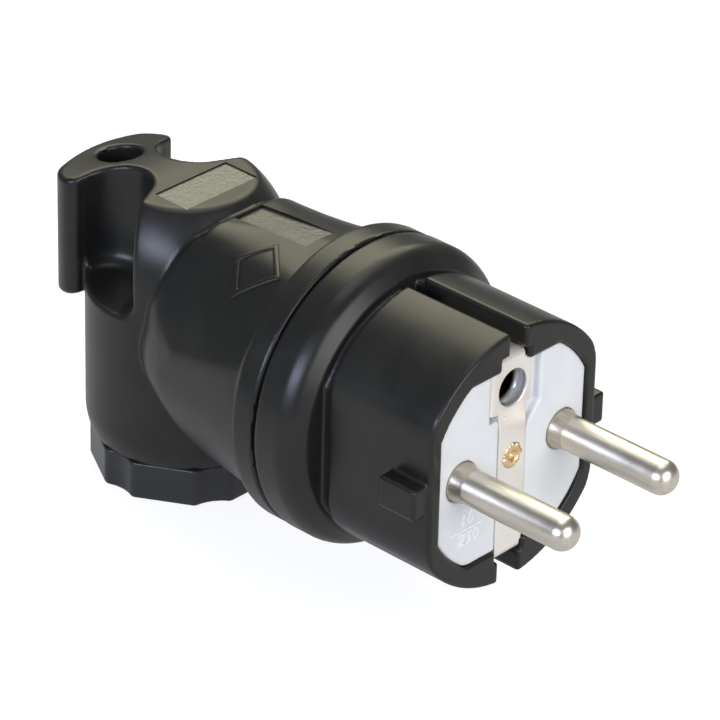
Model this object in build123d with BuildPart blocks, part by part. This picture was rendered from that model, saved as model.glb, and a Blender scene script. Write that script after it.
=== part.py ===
"""Angled rewirable plug, two round pins with earth strip and earth socket, 16 A / 250 V.

Millimetres. The origin is midway between the pins on the contact face. +X points out along
the pins, +Y runs from pin to pin and +Z is up, away from the cord gland.
"""

import os
from math import cos, hypot, radians, sin, tan

from build123d import *

# Pins
PIN_DIAMETER = 4.8
PIN_SPACING = 19.0
PIN_LENGTH = 19.0
PIN_TIP_RADIUS = 2.1
PIN_BASE_DIAMETER = 5.5
PIN_FLARE_LENGTH = 0.45
PIN_TAIL_DIAMETER = 4.0
PIN_TAIL_LENGTH = 4.0

# Contact carrier, the pale insulator that holds every contact
CARRIER_RADIUS = 15.6
PIN_MARGIN = 1.45
CARRIER_HEIGHT = 26.4
CARRIER_DEPTH = 16.0
TONGUE_STEP = 1.0
FIN_THICKNESS = 1.2
FIN_HEIGHT = 13.0
FIN_DEPTH = 9.0

# Earth strip, folded from one strip of sheet
STRIP_THICKNESS = 0.8
STRIP_RECESS = 0.1
STRIP_STEP = 0.3
STRIP_WIDTH = 5.1
STRIP_HEAD_LEFT = 4.2
STRIP_HEAD_RIGHT = 3.45
STRIP_HEAD_BOTTOM = 6.8
STRIP_TAB_WIDTH = 4.6
STRIP_LEG_LENGTH = 15.5
STRIP_BEND_RADIUS = 1.2
STRIP_JOG_BOTTOM = 3.6
STRIP_JOG_TOP = 7.2
STRIP_SIDE_GAP = 0.15
RECESS_SHELF = 1.5

# Earth socket, rivet and terminal
EARTH_HOLE_DIAMETER = 5.2
EARTH_HOLE_HEIGHT = 9.8
SLEEVE_BORE = 5.0
SLEEVE_WALL = 0.35
SLEEVE_LENGTH = 13.5
SLEEVE_SLIT = 0.8
SLEEVE_SLIT_LENGTH = 9.0
RIVET_DIAMETER = 3.0
RIVET_BORE = 1.6
RIVET_FLANGE_DIAMETER = 3.7
RIVET_FLANGE_THICKNESS = 0.4
EARTH_PLATE_THICKNESS = 1.2
EARTH_PLATE_TOP = 3.4
EARTH_BLOCK_WIDTH = 6.6
EARTH_BLOCK_TOP = -2.2
EARTH_BLOCK_BOTTOM = -7.4
EARTH_BLOCK_LENGTH = 7.4

# Terminal blocks and screws
BLOCK_WIDTH = 7.4
BLOCK_HEIGHT = 7.6
BLOCK_LENGTH = 9.2
BLOCK_EDGE = 0.5
WIRE_HOLE_DIAMETER = 3.2
WIRE_HOLE_DEPTH = 4.8
SCREW_SETBACK = 2.6
SCREW_DIAMETER = 3.0
SCREW_HEAD_DIAMETER = 4.8
SCREW_HEAD_HEIGHT = 1.8
SCREW_STANDOFF = 0.4
SCREW_SLOT = 0.8
SCREW_SLOT_DEPTH = 0.9
CARRIER_SCREW_PITCH_Y = 15.0
CARRIER_SCREW_PITCH_Z = 20.4
CARRIER_SCREW_DIAMETER = 2.4
CARRIER_SCREW_HEAD = 4.2
CARRIER_SCREW_LENGTH = 8.0

# Front shroud
SHROUD_WALL = 2.6
SHROUD_SIDE_WALL = 1.8
SHROUD_LENGTH = 18.6
RIM_HEIGHT = 0.35
RIM_EDGE = 0.4
WEB_THICKNESS = 2.0
WEB_SIDE_GAP = 0.5
WEB_END_GAP = 0.2
GROOVE_TOP_WIDTH = 3.1
GROOVE_BOTTOM_WIDTH = 3.8
LUG_SETBACK = 0.8
LUG_LENGTH = 5.8
LUG_HEIGHT = 4.4
LUG_PROTRUSION = 1.6
LUG_EDGE = 0.4
SEAM_WIDTH = 1.2
SEAM_DEPTH = 0.8

# Collar, gasket and spigot
TERMINAL_CLEARANCE = 1.25
SPIGOT_WALL = 2.4
GASKET_WIDTH = 2.8
COLLAR_LIP = 0.8
COLLAR_EDGE = 0.6
COLLAR_CONE_LENGTH = 2.0
COLLAR_LENGTH = 4.9
GASKET_THICKNESS = 0.6
SPIGOT_LENGTH = 4.0
SNAP_BEAD_HEIGHT = 0.35
SNAP_BEAD_WIDTH = 1.0
SNAP_BEAD_SETBACK = 2.8

# Rear housing: ring and neck
RING_STEP = 0.1
RING_LENGTH = 3.9
RING_EDGE = 0.8
NECK_LAP = 1.0
NECK_SIDE_INSET = 2.3
NECK_FRONT_CREASE = 9.0
NECK_BOTTOM_INSET = 0.3
NECK_FRONT_TOP_WIDTH = 7.0
NECK_FRONT_BULGE = 1.4
NECK_REAR_SETBACK = 48.7
NECK_REAR_SIDE = 13.7
NECK_REAR_CREASE = 0.6
NECK_REAR_BOTTOM = -17.7
NECK_REAR_TOP_WIDTH = 14.8
NECK_REAR_BULGE = 0.8
NECK_TAIL = 2.4
NECK_TAIL_SIDE = 12.3
NECK_TAIL_CREASE = -1.5
NECK_TAIL_BOTTOM = -15.5
NECK_TAIL_TOP_WIDTH = 13.0
NECK_TOP_INSET = 2.15
NECK_TOP_SLOPE = 5.2
LABEL_LENGTH = 13.2
LABEL_WIDTH = 5.2
LABEL_SETBACK = 40.9
LABEL_DEPTH = 0.4

# Rear housing: gland stub, bell and pad
GLAND_SETBACK = 58.4
STUB_RADIUS = 14.0
STUB_BOTTOM = -19.5
STUB_EDGE = 2.6
BELL_BOTTOM = 7.0
PAD_RADIUS = 9.4
PAD_HEIGHT = 17.95
PAD_EDGE = 0.5
PAD_MARK_LENGTH = 6.0
PAD_MARK_WIDTH = 13.2
PAD_MARK_SETBACK = 55.2

# Rear housing: T grip with finger scallops and a hanging hole
GRIP_BACK = 77.0
GRIP_WIDTH = 18.4
GRIP_ARC_RADIUS = 26.0
GRIP_BOTTOM = -1.0
GRIP_FRONT = 70.8
GRIP_EDGE = 1.5
GRIP_SLOPE = 10.0
GRIP_SLOPE_START = 65.0
SCALLOP_RADIUS = 5.8
SCALLOP_WEB = 4.8
SCALLOP_BOTTOM = 2.5
SCALLOP_FLARE = 26.5
SCALLOP_FLOOR_RADIUS = 2.4
HANG_HOLE_SETBACK = 71.6
HANG_HOLE_DIAMETER = 6.1
HANG_HOLE_CHAMFER = 0.4

# Wiring space and cord gland
CAVITY_STEP = 0.6
CAVITY_STRAIGHT = 4.0
CAVITY_END_RADIUS = 6.5
CAVITY_END_SETBACK = 56.5
CORD_DIAMETER = 10.0
CORD_CLEARANCE = 0.5
CORD_PASSAGE_RADIUS = 7.6
CORD_PASSAGE_ROOF = 3.0
GLAND_POCKET_RADIUS = 9.0
GLAND_POCKET_TOP = -12.0
GLAND_THREAD_RADIUS = 11.0
GLAND_THREAD_LENGTH = 3.7
CLAMP_RING_THICKNESS = 1.2
CLAMP_RING_SLITS = 6
CLAMP_RING_SLIT_WIDTH = 1.0
CLAMP_RING_LIP = 2.0
SLIP_WASHER_THICKNESS = 1.2
NUT_ACROSS_FLATS = 25.6
NUT_SIDES = 6
NUT_BOTTOM = -25.2
NUT_WALL = 1.6
NUT_ENTRY_DIAMETER = 13.2
NUT_EDGE = 0.4
NUT_NOTCH_RADIUS = 5.4
NUT_NOTCH_ACROSS = 25.5
NUT_GAP = 0.2

# Clearances
FIT = 0.1
PRESS = 0.04

# Places worked out from the sizes above
shroud_back = -SHROUD_LENGTH
cone_back = shroud_back - COLLAR_CONE_LENGTH
collar_back = cone_back - COLLAR_LENGTH
ring_front = collar_back - GASKET_THICKNESS
ring_back = ring_front - RING_LENGTH
shroud_radius = CARRIER_RADIUS + SHROUD_WALL
carrier_width = PIN_SPACING + PIN_BASE_DIAMETER + 2 * PIN_MARGIN
shroud_width = carrier_width + 2 * SHROUD_SIDE_WALL
web_opening_width = PIN_SPACING + BLOCK_WIDTH + 2 * WEB_SIDE_GAP
web_opening_height = 2 * (WEB_END_GAP - EARTH_BLOCK_BOTTOM)
carrier_back = -CARRIER_DEPTH
terminal_reach = hypot((PIN_SPACING + BLOCK_WIDTH) / 2, BLOCK_HEIGHT / 2)
rear_cavity_radius = terminal_reach + TERMINAL_CLEARANCE
spigot_radius = rear_cavity_radius + SPIGOT_WALL
gasket_radius = spigot_radius + GASKET_WIDTH
collar_radius = gasket_radius + COLLAR_LIP
ring_radius = collar_radius - RING_STEP
cavity_radius = rear_cavity_radius - CAVITY_STEP
tongue_top = CARRIER_HEIGHT / 2 + TONGUE_STEP
strip_front = -STRIP_RECESS
strip_head_front = strip_front - STRIP_STEP
strip_floor = strip_front - STRIP_THICKNESS
strip_head_floor = strip_head_front - STRIP_THICKNESS
strip_top = tongue_top + STRIP_THICKNESS
earth_plate_back = carrier_back - EARTH_PLATE_THICKNESS
block_back = carrier_back - BLOCK_LENGTH
earth_block_back = earth_plate_back - EARTH_BLOCK_LENGTH
spigot_back = collar_back - SPIGOT_LENGTH
gland_x = -GLAND_SETBACK
gland_axis = Axis((gland_x, 0, 0), (0, 0, 1))
gland_plane = Plane(origin=(gland_x, 0, 0), x_dir=(1, 0, 0), z_dir=(0, -1, 0))
thread_bottom = STUB_BOTTOM - GLAND_THREAD_LENGTH
passage_top = SCALLOP_BOTTOM - CORD_PASSAGE_ROOF
cord_bore = CORD_DIAMETER / 2 + CORD_CLEARANCE
nut_floor = NUT_BOTTOM + NUT_WALL
seal_bottom = nut_floor + SLIP_WASHER_THICKNESS
seal_top = GLAND_POCKET_TOP - CLAMP_RING_THICKNESS

os.makedirs("parts", exist_ok=True)


# Pale moulded insulator: a front block with two lobes, tongues under the strip's legs and two
# fins behind that keep the three terminals apart
with BuildPart() as contact_carrier:
    with BuildSketch(Plane.YZ.offset(carrier_back)):
        Circle(CARRIER_RADIUS)
        Rectangle(carrier_width, CARRIER_HEIGHT, mode=Mode.INTERSECT)
        Rectangle(STRIP_TAB_WIDTH, 2 * tongue_top)
    extrude(amount=CARRIER_DEPTH)
    fin_y = (EARTH_BLOCK_WIDTH + PIN_SPACING - BLOCK_WIDTH) / 4
    with BuildSketch(Plane.YZ.offset(carrier_back)):
        with GridLocations(2 * fin_y, 0, 2, 1):
            Rectangle(FIN_THICKNESS, FIN_HEIGHT)
    extrude(amount=-FIN_DEPTH)
    with BuildSketch(Plane.YZ.offset(strip_floor)):
        Rectangle(STRIP_WIDTH + 2 * STRIP_SIDE_GAP, 2 * tongue_top)
    extrude(amount=CARRIER_DEPTH, mode=Mode.SUBTRACT)
    with BuildSketch(Plane.YZ.offset(strip_head_floor)):
        with BuildLine():
            head_left = -STRIP_HEAD_LEFT - STRIP_SIDE_GAP
            head_bottom = STRIP_HEAD_BOTTOM - STRIP_SIDE_GAP
            jog_side = STRIP_WIDTH / 2 + STRIP_SIDE_GAP
            jog_bottom = STRIP_JOG_BOTTOM - STRIP_SIDE_GAP
            shelf_right = STRIP_HEAD_RIGHT + RECESS_SHELF
            Polyline(
                (head_left, head_bottom),
                (-jog_side, head_bottom),
                (-jog_side, jog_bottom),
                (jog_side, jog_bottom),
                (shelf_right, jog_bottom + shelf_right - jog_side),
                (shelf_right, strip_top),
                (head_left, strip_top),
                close=True,
            )
        make_face()
    extrude(amount=CARRIER_DEPTH, mode=Mode.SUBTRACT)
    tongue_edges = contact_carrier.edges().filter_by(Axis.Y)
    tongue_edges = tongue_edges.filter_by_position(Axis.X, carrier_back / 2, 0)
    chamfer(tongue_edges.group_by(Axis.Z)[0], STRIP_BEND_RADIUS / 2)
    tongue_edges = contact_carrier.edges().filter_by(Axis.Y)
    tongue_edges = tongue_edges.filter_by_position(Axis.X, carrier_back / 2, 0)
    chamfer(tongue_edges.group_by(Axis.Z)[-1], STRIP_BEND_RADIUS / 2)
    with BuildSketch(Plane.YZ):
        with GridLocations(PIN_SPACING, 0, 2, 1):
            Circle(PIN_BASE_DIAMETER / 2 + FIT)
        Circle(RIVET_DIAMETER / 2 + FIT)
    extrude(amount=-CARRIER_DEPTH, mode=Mode.SUBTRACT)
    with BuildSketch(Plane.YZ.offset(strip_head_floor)):
        with Locations((0, EARTH_HOLE_HEIGHT)):
            Circle(SLEEVE_BORE / 2 + SLEEVE_WALL + PRESS)
    extrude(amount=-SLEEVE_LENGTH, mode=Mode.SUBTRACT)
    with BuildSketch(Plane.YZ.offset(carrier_back)):
        with GridLocations(CARRIER_SCREW_PITCH_Y, CARRIER_SCREW_PITCH_Z, 2, 2):
            Circle(CARRIER_SCREW_DIAMETER / 2 + PRESS)
    extrude(amount=CARRIER_SCREW_LENGTH, mode=Mode.SUBTRACT)
contact_carrier.part.label = "contact_carrier"
export_step(contact_carrier.part, "parts/contact_carrier.step")


# Black rubber front: barrel with two flats, side lugs and earth grooves, a web that carries the
# insulator, the front half of the collar and the spigot that snaps into the rear housing
with BuildPart() as front_shroud:
    with BuildSketch(Plane.YZ.offset(shroud_back)):
        Circle(shroud_radius)
        Rectangle(shroud_width, 2 * shroud_radius, mode=Mode.INTERSECT)
    extrude(amount=SHROUD_LENGTH + RIM_HEIGHT)
    fillet(front_shroud.faces().sort_by(Axis.X)[-1].edges(), RIM_EDGE)
    with BuildSketch(Plane.XZ):
        with BuildLine():
            bead_x = collar_back - SNAP_BEAD_SETBACK
            Polyline(
                (shroud_back, 0),
                (shroud_back, shroud_radius),
                (cone_back, collar_radius),
                (collar_back, collar_radius),
                (collar_back, spigot_radius),
                (bead_x + SNAP_BEAD_WIDTH / 2, spigot_radius),
                (bead_x, spigot_radius + SNAP_BEAD_HEIGHT),
                (bead_x - SNAP_BEAD_WIDTH / 2, spigot_radius),
                (spigot_back, spigot_radius),
                (spigot_back, 0),
                close=True,
            )
        make_face()
    revolve(axis=Axis.X)
    rims = front_shroud.edges().filter_by(GeomType.CIRCLE).filter_by_position(Axis.X, cone_back, cone_back)
    fillet(rims.sort_by(SortBy.RADIUS)[-1], COLLAR_EDGE)
    with BuildSketch(Plane.YZ.offset(shroud_back)):
        Circle(collar_radius)
        Circle(shroud_radius - SEAM_DEPTH, mode=Mode.SUBTRACT)
    extrude(amount=SEAM_WIDTH, mode=Mode.SUBTRACT)
    with Locations((-LUG_SETBACK - LUG_LENGTH / 2, 0, 0)):
        Box(LUG_LENGTH, shroud_width + 2 * LUG_PROTRUSION, LUG_HEIGHT)
    lug_faces = front_shroud.faces().filter_by(Axis.Y)
    fillet(lug_faces.sort_by(Axis.Y)[0].edges() + lug_faces.sort_by(Axis.Y)[-1].edges(), LUG_EDGE)
    with BuildSketch(Plane.YZ.offset(carrier_back)):
        Circle(CARRIER_RADIUS + FIT)
        Rectangle(carrier_width + 2 * FIT, CARRIER_HEIGHT + 2 * FIT, mode=Mode.INTERSECT)
        Rectangle(STRIP_TAB_WIDTH + 2 * FIT, 2 * (strip_top + FIT))
    extrude(amount=CARRIER_DEPTH + 2 * RIM_HEIGHT, mode=Mode.SUBTRACT)
    with BuildSketch(Plane.YZ.offset(carrier_back - WEB_THICKNESS)):
        Circle(rear_cavity_radius)
        Rectangle(web_opening_width, web_opening_height, mode=Mode.INTERSECT)
        with GridLocations(CARRIER_SCREW_PITCH_Y, CARRIER_SCREW_PITCH_Z, 2, 2):
            Circle(CARRIER_SCREW_DIAMETER / 2 + FIT)
    extrude(amount=WEB_THICKNESS, mode=Mode.SUBTRACT)
    with BuildSketch(Plane.YZ.offset(spigot_back)):
        Circle(rear_cavity_radius)
    extrude(amount=carrier_back - WEB_THICKNESS - spigot_back, mode=Mode.SUBTRACT)
    with BuildSketch(Plane.YZ.offset(shroud_back)):
        with Locations((0, shroud_radius)):
            Rectangle(GROOVE_TOP_WIDTH, 2 * (shroud_radius - strip_top))
        with Locations((0, -shroud_radius)):
            Rectangle(GROOVE_BOTTOM_WIDTH, 2 * (shroud_radius - strip_top))
    extrude(amount=SHROUD_LENGTH + 2 * RIM_HEIGHT, mode=Mode.SUBTRACT)
front_shroud.part.label = "front_shroud"
export_step(front_shroud.part, "parts/front_shroud.step")


# Earth strip: sheet folded over both ends of the insulator, with a wider head that is set back
# around the earth hole
with BuildPart() as earth_strip:
    leg_end = strip_front - STRIP_LEG_LENGTH
    with BuildSketch(Plane.XZ):
        with BuildLine():
            FilletPolyline(
                (leg_end, strip_top),
                (strip_head_front, strip_top),
                (strip_head_front, STRIP_JOG_TOP),
                (strip_front, STRIP_JOG_BOTTOM),
                (strip_front, -strip_top),
                (leg_end, -strip_top),
                radius=STRIP_BEND_RADIUS,
            )
            offset(amount=STRIP_THICKNESS, side=Side.RIGHT)
        make_face()
    extrude(amount=STRIP_HEAD_LEFT, both=True)
    with BuildSketch(Plane.YZ.offset(leg_end)):
        Rectangle(STRIP_TAB_WIDTH, 2 * strip_top)
        Rectangle(STRIP_WIDTH, CARRIER_HEIGHT)
        with BuildLine():
            Polyline(
                (-STRIP_HEAD_LEFT, STRIP_HEAD_BOTTOM),
                (STRIP_HEAD_RIGHT, STRIP_HEAD_BOTTOM),
                (STRIP_HEAD_RIGHT, CARRIER_HEIGHT / 2),
                (-STRIP_HEAD_LEFT, CARRIER_HEIGHT / 2),
                close=True,
            )
        make_face()
    extrude(amount=STRIP_LEG_LENGTH, mode=Mode.INTERSECT)
    with BuildSketch(Plane.YZ):
        Circle(RIVET_DIAMETER / 2 + FIT)
        with Locations((0, EARTH_HOLE_HEIGHT)):
            Circle(EARTH_HOLE_DIAMETER / 2)
    extrude(amount=2 * strip_head_floor, mode=Mode.SUBTRACT)
earth_strip.part.label = "earth_strip"
export_step(earth_strip.part, "parts/earth_strip.step")


# Slit spring sleeve behind the strip that takes the earth pin of a socket
with BuildPart() as earth_sleeve:
    with BuildSketch(Plane.YZ.offset(strip_head_floor)):
        with Locations((0, EARTH_HOLE_HEIGHT)):
            Circle(SLEEVE_BORE / 2 + SLEEVE_WALL)
            Circle(SLEEVE_BORE / 2, mode=Mode.SUBTRACT)
    extrude(amount=-SLEEVE_LENGTH)
    with BuildSketch(Plane.YZ.offset(strip_head_floor - SLEEVE_LENGTH)):
        with Locations((0, EARTH_HOLE_HEIGHT)):
            Rectangle(SLEEVE_SLIT, SLEEVE_BORE + 4 * SLEEVE_WALL)
    extrude(amount=SLEEVE_SLIT_LENGTH, mode=Mode.SUBTRACT)
earth_sleeve.part.label = "earth_sleeve"
export_step(earth_sleeve.part, "parts/earth_sleeve.step")


# Hollow brass rivet through strip, insulator and earth terminal
with BuildPart() as earth_rivet:
    with BuildSketch(Plane.XZ):
        with BuildLine():
            rivet_front = strip_front + RIVET_FLANGE_THICKNESS
            rivet_back = earth_plate_back - RIVET_FLANGE_THICKNESS
            Polyline(
                (rivet_front, RIVET_BORE / 2),
                (rivet_front, RIVET_FLANGE_DIAMETER / 2),
                (strip_front, RIVET_FLANGE_DIAMETER / 2),
                (strip_front, RIVET_DIAMETER / 2),
                (earth_plate_back, RIVET_DIAMETER / 2),
                (earth_plate_back, RIVET_FLANGE_DIAMETER / 2),
                (rivet_back, RIVET_FLANGE_DIAMETER / 2),
                (rivet_back, RIVET_BORE / 2),
                close=True,
            )
        make_face()
    revolve(axis=Axis.X)
    chamfer(earth_rivet.faces().sort_by(Axis.X)[-1].edges(), RIVET_FLANGE_THICKNESS / 2)
earth_rivet.part.label = "earth_rivet"
export_step(earth_rivet.part, "parts/earth_rivet.step")


# Brass earth terminal: a plate under the rivet with a screw block below it
with BuildPart() as earth_terminal:
    with BuildSketch(Plane.YZ.offset(carrier_back)):
        with Locations((0, (EARTH_PLATE_TOP + EARTH_BLOCK_BOTTOM) / 2)):
            Rectangle(EARTH_BLOCK_WIDTH, EARTH_PLATE_TOP - EARTH_BLOCK_BOTTOM)
        Circle(RIVET_DIAMETER / 2 + FIT, mode=Mode.SUBTRACT)
    extrude(amount=-EARTH_PLATE_THICKNESS)
    earth_block_z = (EARTH_BLOCK_TOP + EARTH_BLOCK_BOTTOM) / 2
    with BuildSketch(Plane.YZ.offset(earth_plate_back)):
        with Locations((0, earth_block_z)):
            Rectangle(EARTH_BLOCK_WIDTH, EARTH_BLOCK_TOP - EARTH_BLOCK_BOTTOM)
    extrude(amount=-EARTH_BLOCK_LENGTH)
    with BuildSketch(Plane.YZ.offset(earth_block_back)):
        with Locations((0, earth_block_z)):
            Circle(WIRE_HOLE_DIAMETER / 2)
    extrude(amount=WIRE_HOLE_DEPTH, mode=Mode.SUBTRACT)
    with BuildSketch(Plane.XY.offset(EARTH_BLOCK_TOP)):
        with Locations((earth_block_back + SCREW_SETBACK, 0)):
            Circle(SCREW_DIAMETER / 2 + PRESS)
    extrude(amount=earth_block_z - EARTH_BLOCK_TOP, mode=Mode.SUBTRACT)
earth_terminal.part.label = "earth_terminal"
export_step(earth_terminal.part, "parts/earth_terminal.step")


# Turned pins with their terminal blocks, one set on each side
for name, side in (("live", -1), ("neutral", 1)):
    pin_y = side * PIN_SPACING / 2
    pin_plane = Plane(origin=(0, pin_y, 0), x_dir=(1, 0, 0), z_dir=(0, -1, 0))
    with BuildPart() as pin:
        with BuildSketch(pin_plane) as pin_profile:
            with BuildLine():
                Polyline(
                    (carrier_back - PIN_TAIL_LENGTH, 0),
                    (carrier_back - PIN_TAIL_LENGTH, PIN_TAIL_DIAMETER / 2),
                    (carrier_back, PIN_TAIL_DIAMETER / 2),
                    (carrier_back, PIN_BASE_DIAMETER / 2),
                    (0, PIN_BASE_DIAMETER / 2),
                    (PIN_FLARE_LENGTH, PIN_DIAMETER / 2),
                    (PIN_LENGTH, PIN_DIAMETER / 2),
                    (PIN_LENGTH, 0),
                    close=True,
                )
            make_face()
            tip = pin_profile.vertices().group_by(Axis.X)[-1].sort_by(Axis.Y)[-1]
            fillet(tip, PIN_TIP_RADIUS)
        revolve(axis=Axis((0, pin_y, 0), (1, 0, 0)))
    pin.part.label = name + "_pin"
    export_step(pin.part, "parts/" + pin.part.label + ".step")

    with BuildPart() as terminal:
        with BuildSketch(Plane.YZ.offset(carrier_back)):
            with Locations((pin_y, 0)):
                RectangleRounded(BLOCK_WIDTH, BLOCK_HEIGHT, BLOCK_EDGE)
        extrude(amount=-BLOCK_LENGTH)
        with BuildSketch(Plane.YZ.offset(carrier_back)):
            with Locations((pin_y, 0)):
                Circle(PIN_TAIL_DIAMETER / 2 + PRESS)
        extrude(amount=-PIN_TAIL_LENGTH, mode=Mode.SUBTRACT)
        with BuildSketch(Plane.YZ.offset(block_back)):
            with Locations((pin_y, 0)):
                Circle(WIRE_HOLE_DIAMETER / 2)
        extrude(amount=WIRE_HOLE_DEPTH, mode=Mode.SUBTRACT)
        with BuildSketch(Plane.XY.offset(BLOCK_HEIGHT / 2)):
            with Locations((block_back + SCREW_SETBACK, pin_y)):
                Circle(SCREW_DIAMETER / 2 + PRESS)
        extrude(amount=-BLOCK_HEIGHT / 2, mode=Mode.SUBTRACT)
    terminal.part.label = name + "_terminal"
    export_step(terminal.part, "parts/" + terminal.part.label + ".step")


# Slotted brass screws, one standing in each terminal block
screw_places = (
    ("live", block_back + SCREW_SETBACK, -PIN_SPACING / 2, BLOCK_HEIGHT / 2),
    ("neutral", block_back + SCREW_SETBACK, PIN_SPACING / 2, BLOCK_HEIGHT / 2),
    ("earth", earth_block_back + SCREW_SETBACK, 0, EARTH_BLOCK_TOP),
)
for name, screw_x, screw_y, seat_z in screw_places:
    with BuildPart() as screw:
        with BuildSketch(Plane(origin=(screw_x, screw_y, seat_z + SCREW_STANDOFF))):
            Circle(SCREW_HEAD_DIAMETER / 2)
        extrude(amount=SCREW_HEAD_HEIGHT)
        with BuildSketch(screw.faces().sort_by(Axis.Z)[-1]):
            Rectangle(2 * SCREW_HEAD_DIAMETER, SCREW_SLOT)
        extrude(amount=-SCREW_SLOT_DEPTH, mode=Mode.SUBTRACT)
        with BuildSketch(Plane(origin=(screw_x, screw_y, seat_z + SCREW_STANDOFF))):
            Circle(SCREW_DIAMETER / 2)
        extrude(amount=-SCREW_STANDOFF - (BLOCK_HEIGHT - WIRE_HOLE_DIAMETER) / 2)
    screw.part.label = name + "_terminal_screw"
    export_step(screw.part, "parts/" + screw.part.label + ".step")


# Four screws that hold the insulator against the web of the shroud
with BuildPart() as carrier_screws:
    screw_seat = carrier_back - WEB_THICKNESS
    with BuildSketch(Plane.YZ.offset(screw_seat)):
        with GridLocations(CARRIER_SCREW_PITCH_Y, CARRIER_SCREW_PITCH_Z, 2, 2):
            Circle(CARRIER_SCREW_HEAD / 2)
    extrude(amount=-SCREW_HEAD_HEIGHT)
    with BuildSketch(Plane.YZ.offset(screw_seat - SCREW_HEAD_HEIGHT)):
        with GridLocations(CARRIER_SCREW_PITCH_Y, CARRIER_SCREW_PITCH_Z, 2, 2):
            Rectangle(2 * CARRIER_SCREW_HEAD, SCREW_SLOT)
    extrude(amount=SCREW_SLOT_DEPTH, mode=Mode.SUBTRACT)
    with BuildSketch(Plane.YZ.offset(screw_seat)):
        with GridLocations(CARRIER_SCREW_PITCH_Y, CARRIER_SCREW_PITCH_Z, 2, 2):
            Circle(CARRIER_SCREW_DIAMETER / 2)
    extrude(amount=WEB_THICKNESS + CARRIER_SCREW_LENGTH - SCREW_STANDOFF)
carrier_screws.part.label = "carrier_screws"
export_step(carrier_screws.part, "parts/carrier_screws.step")


# Flat gasket between the two halves of the collar
with BuildPart() as collar_gasket:
    with BuildSketch(Plane.YZ.offset(ring_front)):
        Circle(gasket_radius)
        Circle(spigot_radius + FIT, mode=Mode.SUBTRACT)
    extrude(amount=GASKET_THICKNESS)
collar_gasket.part.label = "collar_gasket"
export_step(collar_gasket.part, "parts/collar_gasket.step")


# Cutting form of one finger scallop: an upright round pocket that opens outwards along a
# straight flare, with a rounded floor
with BuildPart() as scallop:
    scallop_x = -GRIP_FRONT + SCALLOP_RADIUS
    scallop_y = SCALLOP_WEB / 2 + SCALLOP_RADIUS
    flare = radians(SCALLOP_FLARE)
    flare_start = (scallop_x + SCALLOP_RADIUS * cos(flare), scallop_y - SCALLOP_RADIUS * sin(flare))
    flare_run = STUB_RADIUS + SCALLOP_RADIUS - flare_start[1]
    flare_end = (flare_start[0] + flare_run * tan(flare), flare_start[1] + flare_run)
    with BuildSketch(Plane.XY.offset(SCALLOP_BOTTOM)):
        with BuildLine():
            ThreePointArc((-GRIP_FRONT, scallop_y), (scallop_x, SCALLOP_WEB / 2), flare_start)
            Line(flare_start, flare_end)
            Line(flare_end, (-GRIP_FRONT, flare_end[1]))
            Line((-GRIP_FRONT, flare_end[1]), (-GRIP_FRONT, scallop_y))
        make_face()
    extrude(amount=PAD_HEIGHT)
    fillet(scallop.faces().sort_by(Axis.Z)[0].edges().sort_by(Axis.Y)[:-1], SCALLOP_FLOOR_RADIUS)


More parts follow.
